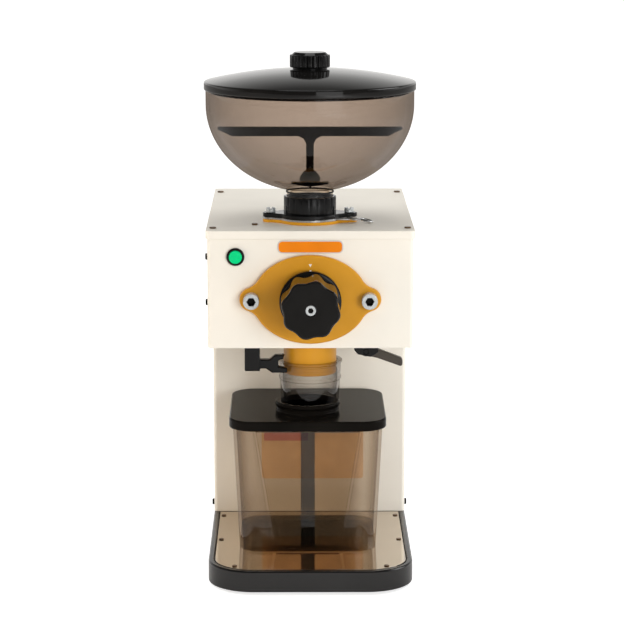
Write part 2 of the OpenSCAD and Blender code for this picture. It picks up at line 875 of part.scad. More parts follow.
// Points round a wavy outline of radius r with n lobes, each valley deep below the crests
function lobed(r, n, deep) = [
    for (i = [0:lobe_steps * n - 1])
        let (a = i * 360 / (lobe_steps * n), wave = r - deep * (1 - cos(n * a)) / 2)
            wave * [cos(a + lobe_turn), sin(a + lobe_turn)]
];

module adjust_knob() {
    color("#161617") translate([0, 0, axis_z]) difference() {
        union() {
            slab_y(knob_front, knob_back) polygon(lobed(knob_r, knob_lobes, lobe_deep));
            bar_y(knob_r + 1, knob_back - skirt_l, knob_back);
        }
        bar_y(spindle_r + fit, spindle_front - 0.5, knob_back + 1);
        bar_y(4.4, knob_front - 1, knob_front + 3);
        bar_y(2.3, knob_front, spindle_front);
    }
}
module knob_screw() {
    color("#b9bdc0") translate([0, 0, axis_z]) difference() {
        union() {
            bar_y(4, knob_front + 0.4, knob_front + 3);
            bar_y(2.2, knob_front + 2.5, spindle_front + 9);
        }
        translate([0, knob_front, 0]) rotate([-90, 0, 0]) cylinder(r = 2.1, h = 2, $fn = 6);
    }
}

module rotor_disc() {
    color("#9a9ea2") translate([0, 0, axis_z]) difference() {
        union() {
            bar_y(burr_r, disc_y0, disc_y0 + disc_t);
            for (i = [0:2]) rotate([0, 30 + 120 * i, 0]) {
                translate([burr_r - 8, disc_y0 + disc_t - 1, -2.5]) cube([7, lug_t + 1, 5]);
            }
        }
        bar_y(shaft_r + fit, disc_y0 - 1, disc_y0 + disc_t + 1);
        difference() {
            tube_y(eye_r, shaft_r + 2.5, disc_y0 - 1, disc_y0 + disc_t + 1);
            for (i = [0:2]) rotate([0, 30 + 120 * i, 0]) {
                translate([0, disc_y0 - 2, -2]) cube([eye_r + 2, disc_t + 4, 4]);
            }
        }
        at_burr_screws() {
            bar_y(burr_screw_r + fit, disc_y0 - 1, disc_y0 + disc_t + 1);
            bar_y(3.2, disc_y0 + disc_t - 2.2, disc_y0 + disc_t + 1);
        }
    }
}

module feed_auger() {
    l = tube_back - 1 - chamber_back;
    flight = 75;
    root_r = shaft_r + 1;
    color("#8a8e92") translate([0, chamber_back + 0.5, axis_z]) rotate([-90, 0, 0]) {
        difference() {
            cylinder(r = shaft_r + 2, h = l);
            translate([0, 0, -1]) cylinder(r = shaft_r + fit, h = l + 2);
        }
        linear_extrude(height = l, twist = -360 * l / auger_pitch, slices = 36, $fn = 8) polygon(concat(
            [for (i = [0:3]) auger_r * [cos(i * flight / 3), sin(i * flight / 3)]],
            [for (i = [3:-1:0]) root_r * [cos(i * flight / 3), sin(i * flight / 3)]]
        ));
    }
}

// Motor

module motor_shaft() {
    color("#a4a8ab") translate([0, 0, axis_z]) bar_y(shaft_r, shaft_y0, shaft_y1);
}
module rotor_core() {
    color("#7b7f83") translate([0, 0, axis_z]) tube_y(rotor_r, shaft_r + fit, stator_y0 + 2, stator_y1 - 2);
}
module stator_core() {
    color("#6d7175") translate([0, 0, axis_z]) tube_y(motor_r, rotor_r + 0.4, stator_y0, stator_y1);
}
module stator_windings() {
    color("#b0662c") translate([0, 0, axis_z]) {
        tube_y(rotor_r + 11, rotor_r + 1.5, stator_y0 - 7, stator_y0);
        tube_y(rotor_r + 11, rotor_r + 1.5, stator_y1, stator_y1 + 7);
    }
}
// End bell with its closed side at y0 and its open side towards the stator
module end_bell(y0) {
    difference() {
        union() {
            tube_y(motor_r, motor_r - bell_wall, y0, y0 + bell_l);
            bar_y(motor_r - 1, y0, y0 + bell_wall);
            bar_y(bearing_r + 3, y0, y0 + bell_l);
        }
        bar_y(bearing_r, y0 + bell_l - bearing_l, y0 + bell_l + 1);
        bar_y(shaft_r + 0.5, y0 - 1, y0 + bell_l);
    }
}
module front_end_bell() {
    color("#8b8f93") translate([0, 0, axis_z]) {
        end_bell(bell_y0);
        tube_y(bearing_r + 4, shaft_r + 0.5, mill_back, bell_y0 + 0.5);
    }
}
module rear_end_bell() {
    color("#8b8f93") translate([0, bell_y1 + stator_y1, axis_z]) mirror([0, 1, 0]) end_bell(stator_y1);
}
module shaft_bearings() {
    color("#b4b8bb") translate([0, 0, axis_z]) {
        tube_y(bearing_r, shaft_r + fit, stator_y0 - bearing_l, stator_y0);
        tube_y(bearing_r, shaft_r + fit, stator_y1, stator_y1 + bearing_l);
    }
}
module cooling_fan() {
    blades = 7;
    color("#2b2b2d") translate([0, 0, axis_z]) difference() {
        union() {
            bar_y(shaft_r + 5, fan_y0, fan_y0 + fan_l);
            bar_y(fan_r, fan_y0, fan_y0 + 1.6);
            for (i = [0:blades - 1]) rotate([0, i * 360 / blades, 0]) {
                translate([shaft_r + 4, fan_y0 + 1, -1]) cube([fan_r - shaft_r - 5, fan_l - 1, 2]);
            }
        }
        bar_y(shaft_r + fit, fan_y0 - 1, fan_y0 + fan_l + 1);
    }
}
module motor_cradle() {
    y0 = stator_y0 + 10;
    color("#707477") difference() {
        translate([-cradle_w / 2, y0, floor_top]) cube([cradle_w, cradle_l, axis_up - sheet_t - 20]);
        translate([0, 0, axis_z]) bar_y(motor_r, y0 - 1, y0 + cradle_l + 1);
    }
}
module run_capacitor() {
    color("#d7d7d2") translate([-body_w / 4, (col_front + head_back) / 2, base_top]) {
        cylinder(r = capacitor_r, h = capacitor_h);
        for (s = [-1, 1]) translate([s * 6 - 3, -0.5, capacitor_h - 1]) cube([6, 1, 9]);
    }
}
module power_inlet() {
    wall = 2.5;
    y0 = head_back - mains_l;
    pins = [[0, 3], [-7, -2.5], [7, -2.5]];
    color("#19191b") difference() {
        union() {
            translate([-mains_w / 2, y0, mains_z - mains_h / 2]) cube([mains_w, mains_l + 0.5, mains_h]);
            translate([-mains_w / 2 - 8, head_back, mains_z - mains_h / 2 - 2]) {
                cube([mains_w + 16, 1.4, mains_h + 4]);
            }
        }
        translate([-mains_w / 2 + wall, y0 + wall, mains_z - mains_h / 2 + wall]) {
            cube([mains_w - 2 * wall, mains_l, mains_h - 2 * wall]);
        }
    }
    color("#b9b9b4") for (p = pins) {
        translate([p[0] - 1, y0 + wall - 0.5, mains_z + p[1] - 2]) cube([2, 12, 4]);
    }
}

// Hopper

// Points of the bowl's round bottom, from the rim's radius down to the neck's
function bowl_curve(r, depth, to_r) = [
    for (i = [0:20]) let (t = i / 20 * acos(to_r / r)) [r * cos(t), bowl_mid - depth * sin(t)]
];
// Inner radius of the bowl's round bottom at a height
function bowl_inside(z) = (bowl_r - bowl_wall) * sqrt(1 - pow((bowl_mid - z) / (bowl_depth - bowl_wall), 2));
function flip(list) = [for (i = [len(list) - 1:-1:0]) list[i]];

module hopper_bowl() {
    outer = bowl_curve(bowl_r, bowl_depth, neck_r);
    inner = bowl_curve(bowl_r - bowl_wall, bowl_depth - bowl_wall, bore_r);
    color("#6b5a50", 0.6) translate([0, neck_y, 0]) rotate_extrude() polygon(concat(
        [[bowl_r - bowl_wall, bowl_top], [bowl_r, bowl_top]], outer, [[bore_r, bowl_low]], flip(inner)
    ));
}

module hopper_neck() {
    color("#6b5a50", 0.6) translate([0, neck_y, collar_z]) difference() {
        cylinder(r = neck_r, h = bowl_low - collar_z);
        translate([0, 0, -1]) cylinder(r = bore_r, h = bowl_low - collar_z + 2);
    }
}

// Height of the lid's dome above its edge at radius r, flat under the knob
function dome(r) = lid_rise * (1 - pow(max(r, knob_seat_r) / lid_r, 2));

module hopper_lid() {
    steps = 16;
    top = [for (i = [0:steps]) let (r = lid_r - (lid_r - knob_seat_r) * i / steps) [r, dome_z + dome(r)]];
    under_r = spigot_r - 2;
    under = [for (i = [0:steps]) let (r = under_r * i / steps) [r, dome_z + dome(r) - lid_t]];
    color("#151516") translate([0, neck_y, 0]) rotate_extrude() polygon(concat(
        [[lid_r, lid_z]], top, [[0, dome_z + dome(0)]], under,
        [[under_r, lid_z - spigot_h], [spigot_r, lid_z - spigot_h], [spigot_r, lid_z]]
    ));
}

module lid_knob() {
    ribs = 22;
    waist = 1.5;
    color("#131314") translate([0, neck_y, dome_z + dome(0)]) {
        cylinder(r = knob_seat_r, h = waist + 0.5);
        difference() {
            translate([0, 0, waist]) cylinder(r = lid_knob_r, h = lid_knob_h - waist - 1.9);
            for (i = [0:ribs - 1]) rotate(i * 360 / ribs) {
                translate([lid_knob_r + 0.5, 0, waist - 1]) cylinder(r = 1.2, h = lid_knob_h, $fn = 16);
            }
        }
        translate([0, 0, lid_knob_h - 2]) cylinder(r1 = lid_knob_r - 1.4, r2 = lid_knob_r - 4, h = 2);
    }
}

module bean_guard() {
    end_x = min(guard_w / 2, bowl_inside(guard_z + 5) - 3);
    stem = 3;
    legs = 3;
    leg_w = 1.6;
    leg_h = 2.5;
    leg_z = hub_z;
    leg_r = bowl_inside(leg_z) - 0.1;
    color("#101011") {
        translate([0, neck_y, 0]) {
            slab_y(-guard_t / 2, guard_t / 2) polygon([
                [-end_x, guard_z + guard_h], [-end_x, guard_z + 5], [-end_x + 5, guard_z + 3.2],
                [-end_x + 11, guard_z], [-stem - 6, guard_z], [-stem - 2, guard_z - 2], [-stem, guard_z - 6],
                [-stem, hub_z + hub_h - 1], [stem, hub_z + hub_h - 1],
                [stem, guard_z - 6], [stem + 2, guard_z - 2], [stem + 6, guard_z], [end_x - 11, guard_z],
                [end_x - 5, guard_z + 3.2], [end_x, guard_z + 5], [end_x, guard_z + guard_h]
            ]);
            translate([0, 0, hub_z]) rotate_extrude() polygon([
                [0, 0], [hub_r - 2, 0], [hub_r, 3], [hub_r, 7], [stem + 1.5, hub_h], [0, hub_h]
            ]);
            for (i = [0:legs - 1]) rotate(30 + i * 360 / legs) {
                translate([0, -leg_w / 2, leg_z]) cube([leg_r, leg_w, leg_h]);
            }
        }
    }
}

module neck_ring() {
    color("#121213") translate([0, neck_y, bowl_low - 2.6]) difference() {
        cylinder(r = neck_r + 0.8, h = 1.3);
        translate([0, 0, -1]) cylinder(r = neck_r + fit, h = 4);
    }
}

module collar_nut() {
    grooves = 20;
    color("#151516") translate([0, neck_y, collar_z]) difference() {
        cylinder(r = collar_r, h = collar_h);
        translate([0, 0, -1]) cylinder(r = neck_r + 0.2, h = collar_h + 2);
        for (i = [0:grooves - 1]) rotate(i * 360 / grooves) {
            translate([collar_r + 0.5, 0, 1.5]) cylinder(r = 1, h = collar_h, $fn = 16);
        }
    }
}

module at_thumb_screws() {
    for (s = [-1, 1]) translate([s * thumb_x, neck_y, wall_top]) children();
}

// Two-eared plate of the neck's stack, t thick
module eared_plate(t) {
    ear = 6.3;
    web = ear - 0.6;
    translate([0, neck_y, 0]) union() {
        cylinder(r = lobe_r, h = t);
        linear_extrude(t) polygon([
            [-thumb_x, web], [-12, 17.5], [12, 17.5], [thumb_x, web],
            [thumb_x, -web], [12, -17.5], [-12, -17.5], [-thumb_x, -web]
        ]);
        for (s = [-1, 1]) translate([s * thumb_x, 0, 0]) cylinder(r = ear, h = t);
    }
}

module neck_flange() {
    color("#151516") difference() {
        translate([0, 0, black_z]) eared_plate(black_flange_t);
        translate([0, neck_y, black_z - 1]) cylinder(r = bore_r, h = black_flange_t + 2);
        at_thumb_screws() cylinder(r = thumb_r + seat, h = 40);
    }
}

module gate_guide() {
    color("#c3c5c6") difference() {
        translate([0, 0, guide_z]) eared_plate(guide_t);
        translate([-gate_half - 0.5, neck_y - gate_half - slip, guide_z - 1]) {
            cube([3 * lobe_r, 2 * (gate_half + slip), guide_t + 2]);
        }
        at_thumb_screws() cylinder(r = thumb_r + seat, h = 40);
    }
}

module bean_gate() {
    tail_x = thumb_x + 4.8;
    tail_y = 4.5 - gate_half;
    tail_w = 6;
    slot = thumb_r + 0.6;
    ring_x = tail_x + (eyelet_r + eyelet_hole) / 2 + ring_r;
    gate_z = guide_z + (guide_t - gate_t) / 2;
    ring_drop = min(ring_r, (gate_z + gate_t / 2 - cover_top - ring_wire - slip) / 2);
    color("#bfc2c3") translate([0, neck_y, gate_z]) {
        difference() {
            union() {
                translate([-gate_half, -gate_half, 0]) cube([2 * gate_half + 1.5, 2 * gate_half, gate_t]);
                translate([gate_half, tail_y - tail_w / 2, 0]) cube([tail_x - gate_half, tail_w, gate_t]);
                translate([tail_x, tail_y, 0]) cylinder(r = eyelet_r, h = gate_t);
            }
            translate([thumb_x - gate_travel - slot, -slot, -1]) cube([tail_x, 2 * slot, gate_t + 2]);
            translate([tail_x, tail_y, -1]) cylinder(r = eyelet_hole, h = gate_t + 2);
        }
        translate([ring_x, tail_y, gate_t / 2 - ring_drop]) rotate([0, asin(ring_drop / ring_r), 0]) {
            rotate_extrude() translate([ring_r, 0]) circle(r = ring_wire, $fn = 24);
        }
    }
}

module inlet_neck() {
    color("#d39a2b") difference() {
        union() {
            translate([0, 0, cover_top]) eared_plate(neck_flange_t);
            translate([0, neck_y, inlet_seat_z + seat]) cylinder(r = inlet_r, h = cover_top - inlet_seat_z);
        }
        translate([0, neck_y, inlet_seat_z - 1]) cylinder(r = inlet_bore, h = cover_top + 4 - inlet_seat_z);
        at_thumb_screws() cylinder(r = thumb_r + seat, h = 40);
    }
}

module thumb_screws() {
    color("#c6c8c9") at_thumb_screws() translate([0, 0, collar_z - wall_top]) difference() {
        screw(3.8, 3.6, thumb_r, collar_z - wall_top + 5);
        translate([-0.6, -5, 2.4]) cube([1.2, 10, 3]);
    }
}

// Spout, clip and knocker

module spout() {
    low_r = spout_r - 1.7;
    grip_z = chute_z0 + 3;
    step_z = spout_z0 + 19.7;
    inner_z = max(chute_z0 - 2, step_z - 1);
    color("#e9e6e2", 0.4) translate([0, chute_y, 0]) rotate_extrude() polygon([
        [chute_r + 0.8, spout_top], [spout_rim_r, spout_top], [spout_rim_r, spout_top - rim_t],
        [spout_r, spout_top - rim_t - 0.6], [spout_r - 0.4, step_z + 1], [spout_r + 0.2, step_z],
        [spout_r + 0.2, step_z - 1.5], [spout_r - 0.6, step_z - 2.5], [low_r, spout_z0],
        [low_r - 2.2, spout_z0], [spout_r - 2.9, step_z - 2], [chute_r + 0.8, inner_z],
        [chute_r + 0.8, grip_z], [chute_r + 0.1, grip_z + 0.7], [chute_r + 0.1, grip_z + 3],
        [chute_r + 0.8, grip_z + 3.7]
    ]);
}

module clip_mount() {
    color("#17171a") translate([clip_x, clip_y, head_z0 - mount_t]) difference() {
        translate([-clip_w / 2, -clip_d / 2, 0]) cube([clip_w, clip_d, mount_t]);
        translate([0, 0, -1]) cylinder(r = pin_r + fit, h = mount_t + 2);
    }
}

module clip_arm() {
    top = arm_z0 + arm_h;
    color("#1a1a1d") difference() {
        union() {
            translate([clip_x - clip_w / 2, clip_y - clip_d / 2, clip_z0]) {
                cube([clip_w, clip_d, head_z0 - mount_t - slip - clip_z0]);
            }
            translate([0, clip_y, 0]) slab_y(-arm_w / 2 - 1, arm_w / 2 - 1) polygon([
                [clip_x, arm_z0], [clip_x + 10.7, arm_z0], [clip_x + 15.7, arm_z0 - 3.4],
                [clip_x + 27.7, arm_z0 - 3.4], [clip_x + 27.7, arm_z0 + 0.2], [clip_x + 20.7, arm_z0 + 1.5],
                [clip_x + 20.7, top - 0.5], [clip_x + 24.7, top + 0.4], [clip_x + 24.7, top + 3.6],
                [clip_x + 17.7, top + 3.6], [clip_x + 13.7, top], [clip_x, top]
            ]);
        }
        translate([clip_x, clip_y, clip_z0 - 1]) {
            cylinder(r = pin_r + fit, h = head_z0 - clip_z0);
            cylinder(r = pin_head_r + slip, h = 1 + slip + pin_head_h + slip);
        }
        translate([0, chute_y, arm_z0 - 10]) cylinder(r = spout_r + 0.5, h = 20);
        translate([0, chute_y, spout_top - rim_t - 1]) cylinder(r = spout_rim_r + 0.6, h = rim_t + 1.6);
    }
}

module pivot_pins() {
    half = cheek_gap / 2 + cheek_t - slip;
    color("#a9acae") {
        translate([clip_x, clip_y, clip_z0 + slip]) {
            cylinder(r = pin_r, h = head_z0 - clip_z0 - slip);
            cylinder(r = pin_head_r, h = pin_head_h);
        }
        translate([lever_x, 0, lever_z]) bar_y(pin_r, lever_y - half, lever_y + half);
    }
}

module lever_bracket() {
    half = cheek_gap / 2;
    side = bracket_w / 2;
    slot_z = lever_z - 5.5;
    color("#151517") difference() {
        slab_y(lever_y - half - cheek_t, lever_y + half + cheek_t) polygon([
            [lever_x - side, head_z0], [lever_x - side, lever_z + 1.5], [lever_x - side + 3, lever_z - 2.2],
            [lever_x + 4, lever_z - 4.2], [lever_x + side, lever_z - 0.5], [lever_x + side, head_z0]
        ]);
        translate([lever_x - bracket_w, lever_y - half, slot_z]) {
            cube([2 * bracket_w, cheek_gap, head_z0 - bracket_t - slot_z]);
        }
        translate([lever_x, 0, lever_z]) {
            bar_y(pin_r + fit, lever_y - half - cheek_t - 1, lever_y + half + cheek_t + 1);
        }
    }
}

module knocker_lever() {
    y0 = lever_y - cheek_gap / 2 + slip;
    aside = max(0, chute_y - y0 - lever_w, y0 - chute_y);
    hammer_x = sqrt(pow(chute_r, 2) - pow(aside, 2)) + hammer_gap;
    hammer_z = head_z0 - bracket_t - slip - 0.1;
    color("#2a2826") difference() {
        union() {
            translate([lever_x, 0, lever_z]) bar_y(lever_hub, y0, y0 + lever_w);
            slab_y(y0, y0 + lever_w) polygon([
                [lever_x - 3, lever_z - 3.3], [lever_x + 3, lever_z - 4.4], [lever_x + 9, lever_z - 5.8],
                [lever_x + 27.4, lever_z - 12.4], [lever_x + 28.8, lever_z - 11.6],
                [lever_x + 29, lever_z - 7.2], [lever_x + 27.6, lever_z - 5.6],
                [lever_x + 8, lever_z + 1.8], [lever_x, lever_z + 4]
            ]);
            slab_y(y0, y0 + lever_w) polygon([
                [lever_x + 2, lever_z], [lever_x + 2, lever_z + 3.8], [lever_x - 3, hammer_z],
                [hammer_x, hammer_z], [hammer_x, hammer_z - hammer_t],
                [lever_x - 4, hammer_z - hammer_t], [lever_x - 4, lever_z]
            ]);
        }
        translate([lever_x, 0, lever_z]) bar_y(pin_r + fit, y0 - 1, y0 + lever_w + 1);
    }
}

module lever_spring() {
    y1 = lever_y + cheek_gap / 2;
    color("#b8b8b8") translate([lever_x, 0, lever_z]) tube_y(pin_r + 1.6, pin_r + 0.2, y1 - 2.8, y1);
}

// Container

// Tapered block with round corners: sizes at its bottom and its top
module tapered(w0, d0, z0, w1, d1, z1, r) {
    hull() {
        translate([box_x, box_y, z0]) linear_extrude(0.01) plan(w0, d0, r, r, $fn = 32);
        translate([box_x, box_y, z1 - 0.01]) linear_extrude(0.01) plan(w1, d1, r, r, $fn = 32);
    }
}
// Finger recess in the front wall, grown by a wall
module recess(grow) {
    front = box_y - box_d / 2;
    hull() {
        translate([box_x - recess_low_w / 2 - grow, front - 1, recess_z0 - grow]) {
            cube([recess_low_w + 2 * grow, box_draft + recess_low_d + 1 + grow, 0.01]);
        }
        translate([box_x - recess_w / 2 - grow, front - 1, recess_top + grow]) {
            cube([recess_w + 2 * grow, recess_d + 1 + grow, 0.01]);
        }
    }
}
module box_outside() {
    tapered(box_low_w, box_low_d, box_z0, box_w, box_d, box_top, box_corner);
}
module container_box() {
    wall = 2 * box_wall;
    color("#7d6a58", 0.5) {
        difference() {
            union() {
                difference() {
                    box_outside();
                    tapered(box_low_w - wall, box_low_d - wall, box_z0 + box_floor,
                        box_w - wall, box_d - wall, box_top + 0.1, box_corner - box_wall);
                }
                intersection() {
                    box_outside();
                    recess(box_wall);
                }
            }
            recess(0);
        }
        intersection() {
            box_outside();
            translate([box_x - grip_w / 2, box_y - box_d / 2, recess_z0 - 1]) {
                cube([grip_w, box_draft + 4, recess_top - recess_z0 + 2]);
            }
        }
    }
}

module container_lid() {
    w = box_w + 2 * (seat + lid_over);
    d = box_d + 2 * (seat + lid_over);
    corner = box_corner + lid_over + seat;
    step = (collar_top - lid_top) / 2;
    color("#141415") difference() {
        union() {
            translate([box_x, box_y, lid_bottom]) linear_extrude(lid_h) plan(w, d, corner, corner);
            translate([box_x, chute_y, lid_top - 1]) {
                cylinder(r = lid_collar_r - 0.8, h = step + 0.6);
                translate([0, 0, step]) cylinder(r = lid_collar_r - 1.6, h = 2);
                translate([0, 0, step + 1.4]) cylinder(r = lid_collar_r, h = step - 0.4);
            }
        }
        translate([box_x, box_y, lid_bottom - 1]) linear_extrude(box_top - lid_bottom + 1) {
            plan(box_w + 2 * seat, box_d + 2 * seat, box_corner + seat, box_corner + seat);
        }
        translate([box_x, chute_y, lid_bottom - 1]) cylinder(r = lid_hole_r, h = 40);
    }
}

base_frame();
tray_plate();
steel_screws();
rubber_feet();
column_shell();
column_back_panel();
column_bolts();
black_screws();
head_shell();
head_top_cover();
head_rear_panel();
name_plate();
button_bezel();
power_button();
button_spring();
burr_housing();
burr_cover();
cover_bolts();
burr_carrier();
stationary_burr();
fixed_burr_screws();
adjust_spindle();
adjust_knob();
knob_screw();
rotor_disc();
rotating_burr();
turning_burr_screws();
feed_auger();
motor_shaft();
rotor_core();
stator_core();
stator_windings();
front_end_bell();
rear_end_bell();
shaft_bearings();
cooling_fan();
motor_cradle();
run_capacitor();
power_inlet();
hopper_bowl();
hopper_neck();
hopper_lid();
lid_knob();
bean_guard();
neck_ring();
collar_nut();
neck_flange();
gate_guide();
bean_gate();
inlet_neck();
thumb_screws();
spout();
clip_mount();
clip_arm();
pivot_pins();
lever_bracket();
knocker_lever();
lever_spring();
container_box();
container_lid();
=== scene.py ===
import json
import math

import bmesh
import bpy
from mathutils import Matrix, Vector


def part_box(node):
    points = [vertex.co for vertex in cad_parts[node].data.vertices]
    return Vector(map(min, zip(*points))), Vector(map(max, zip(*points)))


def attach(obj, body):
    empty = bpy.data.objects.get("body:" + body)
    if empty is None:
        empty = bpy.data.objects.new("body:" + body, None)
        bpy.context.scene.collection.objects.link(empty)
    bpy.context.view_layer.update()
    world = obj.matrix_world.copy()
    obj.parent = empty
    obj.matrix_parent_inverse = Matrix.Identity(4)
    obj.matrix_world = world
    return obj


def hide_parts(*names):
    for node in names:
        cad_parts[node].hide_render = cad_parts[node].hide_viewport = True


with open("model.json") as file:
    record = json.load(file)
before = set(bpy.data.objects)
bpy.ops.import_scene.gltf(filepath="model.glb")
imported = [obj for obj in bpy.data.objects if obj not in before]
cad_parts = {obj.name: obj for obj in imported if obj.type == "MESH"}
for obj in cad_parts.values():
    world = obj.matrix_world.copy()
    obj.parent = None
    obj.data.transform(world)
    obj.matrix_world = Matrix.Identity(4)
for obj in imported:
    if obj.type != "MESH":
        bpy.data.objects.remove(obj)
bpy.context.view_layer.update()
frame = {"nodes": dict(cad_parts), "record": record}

MM = 0.001
X, Y, Z = range(3)
# Body that each CAD node belongs to
HOME = {n: b for b, nodes in frame["record"]["behaviour"]["bodies"].items() for n in nodes}


def corners(node):
    """Lowest and highest corners of a CAD node, in millimetres."""
    return [[round(v / MM, 2) for v in corner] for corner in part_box(node)]


def middle(node, side):
    """Middle of a CAD node's box along one side, in millimetres."""
    low, high = corners(node)
    return (low[side] + high[side]) / 2


# Places that several pieces share with the CAD model, in millimetres
AXIS_Z = middle("adjust_knob", Z)
NECK_Y = middle("hopper_lid", Y)
CHUTE_Y = middle("spout", Y)
HEAD_FRONT = corners("head_shell")[0][Y]
COLUMN_FRONT = corners("column_shell")[0][Y]
KNOB_FRONT, KNOB_BACK = (corner[Y] for corner in corners("adjust_knob"))
KNOB_SKIRT_R = corners("adjust_knob")[1][X]


# Materials

def node_at(tree, kind, **inputs):
    """New shader node with its named inputs set."""
    n = tree.nodes.new(kind)
    for key, value in inputs.items():
        n.inputs[key.replace("_", " ")].default_value = value
    return n


def combine(tree, operation, first, second):
    """Result of a math operation on two values, each of which is a number or another node's output."""
    n = tree.nodes.new("ShaderNodeMath")
    n.operation = operation
    for socket, value in zip(n.inputs, (first, second)):
        if isinstance(value, bpy.types.NodeSocket):
            tree.links.new(value, socket)
        else:
            socket.default_value = value
    return n.outputs["Value"]


def mix_shaders(tree, share, first, second):
    """First shader, with a share of the second in its place."""
    n = tree.nodes.new("ShaderNodeMixShader")
    for socket, value in zip(n.inputs, (share, first, second)):
        tree.links.new(value, socket)
    return n.outputs["Shader"]


def material(name, color, rough, metallic=0.0, vary=0.06, patch=25.0, grain=900.0, bump=0.05,
             rough_vary=0.05, stretch=(1, 1, 1), **sockets):
    """Principled material with clouded colour, uneven roughness and a fine bump.

    patch and grain are the noises' scales per metre, bump is in millimetres, and stretch pulls the
    grain out.
    """
    mat = bpy.data.materials.new(name)
    mat.use_nodes = True
    tree = mat.node_tree
    link = tree.links.new
    shader = tree.nodes["Principled BSDF"]
    shader.inputs["Metallic"].default_value = metallic
    for key, value in sockets.items():
        shader.inputs[key.replace("_", " ")].default_value = value
    place = tree.nodes.new("ShaderNodeTexCoord")
    pull = node_at(tree, "ShaderNodeMapping", Scale=stretch)
    link(place.outputs["Object"], pull.inputs["Vector"])
    cloud = node_at(tree, "ShaderNodeTexNoise", Scale=patch, Detail=4.0)
    link(place.outputs["Object"], cloud.inputs["Vector"])
    ramp = tree.nodes.new("ShaderNodeValToRGB")
    dark, light = ramp.color_ramp.elements
    dark.position, light.position = 0.3, 0.7
    dark.color = [c * (1 - vary) for c in color] + [1]
    light.color = [min(1, c * (1 + vary)) for c in color] + [1]
    link(cloud.outputs["Fac"], ramp.inputs["Fac"])
    link(ramp.outputs["Color"], shader.inputs["Base Color"])
    fine = node_at(tree, "ShaderNodeTexNoise", Scale=grain, Detail=3.0)
    link(pull.outputs["Vector"], fine.inputs["Vector"])
    spread = node_at(tree, "ShaderNodeMapRange", To_Min=max(0.0, rough - rough_vary),
                     To_Max=rough + rough_vary)
    link(fine.outputs["Fac"], spread.inputs["Value"])
    link(spread.outputs["Result"], shader.inputs["Roughness"])
    relief = node_at(tree, "ShaderNodeBump", Strength=0.6, Distance=bump * MM)
    link(fine.outputs["Fac"], relief.inputs["Height"])
    link(relief.outputs["Normal"], shader.inputs["Normal"])
    return mat


# Sockets of a Mix node that take and give colours
MIX_FIRST, MIX_SECOND, MIX_RESULT = 6, 7, 2


def film(name, tint, edge, rough=0.03, vary=0.04, patch=14.0, shine=0.3, ior=1.45):
    """Clear plastic that tints what is behind it, more where its wall is seen edge on, under gloss.

    tint and edge are what one surface lets through, face on and edge on, and shine is the most that it
    reflects, on its outer side only. A thick round wall takes the whole tint on its outer surface, and
    nearly none on the inner one.
    """
    mat = bpy.data.materials.new(name)
    mat.use_nodes = True
    tree = mat.node_tree
    link = tree.links.new
    tree.nodes.remove(tree.nodes["Principled BSDF"])
    facing = node_at(tree, "ShaderNodeLayerWeight", Blend=0.5)
    depth = tree.nodes.new("ShaderNodeValToRGB")
    depth.color_ramp.elements[0].color = [*tint, 1]
    depth.color_ramp.elements[1].color = [*edge, 1]
    link(facing.outputs["Facing"], depth.inputs["Fac"])
    place = tree.nodes.new("ShaderNodeTexCoord")
    cloud = node_at(tree, "ShaderNodeTexNoise", Scale=patch, Detail=3.0)
    link(place.outputs["Object"], cloud.inputs["Vector"])
    shade = tree.nodes.new("ShaderNodeValToRGB")
    shade.color_ramp.elements[0].color = (1 - vary, 1 - vary, 1 - vary, 1)
    link(cloud.outputs["Fac"], shade.inputs["Fac"])
    both = tree.nodes.new("ShaderNodeMix")
    both.data_type = "RGBA"
    both.blend_type = "MULTIPLY"
    both.inputs["Factor"].default_value = 1.0
    link(depth.outputs["Color"], both.inputs[MIX_FIRST])
    link(shade.outputs["Color"], both.inputs[MIX_SECOND])
    clear = tree.nodes.new("ShaderNodeBsdfTransparent")
    link(both.outputs[MIX_RESULT], clear.inputs["Color"])
    gloss = node_at(tree, "ShaderNodeBsdfGlossy", Color=(1, 1, 1, 1))
    uneven = node_at(tree, "ShaderNodeMapRange", To_Min=rough * 0.5, To_Max=rough * 1.5)
    link(cloud.outputs["Fac"], uneven.inputs["Value"])
    link(uneven.outputs["Result"], gloss.inputs["Roughness"])
    bounce = node_at(tree, "ShaderNodeFresnel", IOR=ior)
    capped = combine(tree, "MINIMUM", bounce.outputs["Fac"], shine)
    side = tree.nodes.new("ShaderNodeNewGeometry")
    outer = combine(tree, "SUBTRACT", 1.0, side.outputs["Backfacing"])
    share = combine(tree, "MULTIPLY", capped, outer)
    surface = mix_shaders(tree, share, clear.outputs["BSDF"], gloss.outputs["BSDF"])
    link(surface, tree.nodes["Material Output"].inputs["Surface"])
    return mat


CREAM = material("cream_powder_coat", (0.86, 0.82, 0.735), 0.45, vary=0.02, grain=1400, bump=0.03)
GOLD = material("gold_paint", (0.62, 0.285, 0.015), 0.32, vary=0.07, grain=700, bump=0.03,
                Specular_IOR_Level=0.28)
BLACK = material("black_plastic", (0.005, 0.005, 0.0052), 0.10, vary=0.3, grain=500, bump=0.006,
                 rough_vary=0.04, Specular_IOR_Level=0.25)
LID_BLACK = material("black_lid_plastic", (0.007, 0.0065, 0.006), 0.07, vary=0.3, grain=300, bump=0.003,
                     rough_vary=0.03, Specular_IOR_Level=0.35)
BOX_BLACK = material("black_box_lid", (0.007, 0.006, 0.005), 0.18, vary=0.3, grain=900, bump=0.006,
                     rough_vary=0.05, Specular_IOR_Level=0.03)
SATIN = material("satin_plastic", (0.007, 0.0065, 0.006), 0.50, vary=0.3, grain=1500, bump=0.04,
                 Specular_IOR_Level=0.15)
PADDLE = material("worn_black_paddle", (0.045, 0.037, 0.028), 0.42, vary=0.25, grain=1500, bump=0.04)
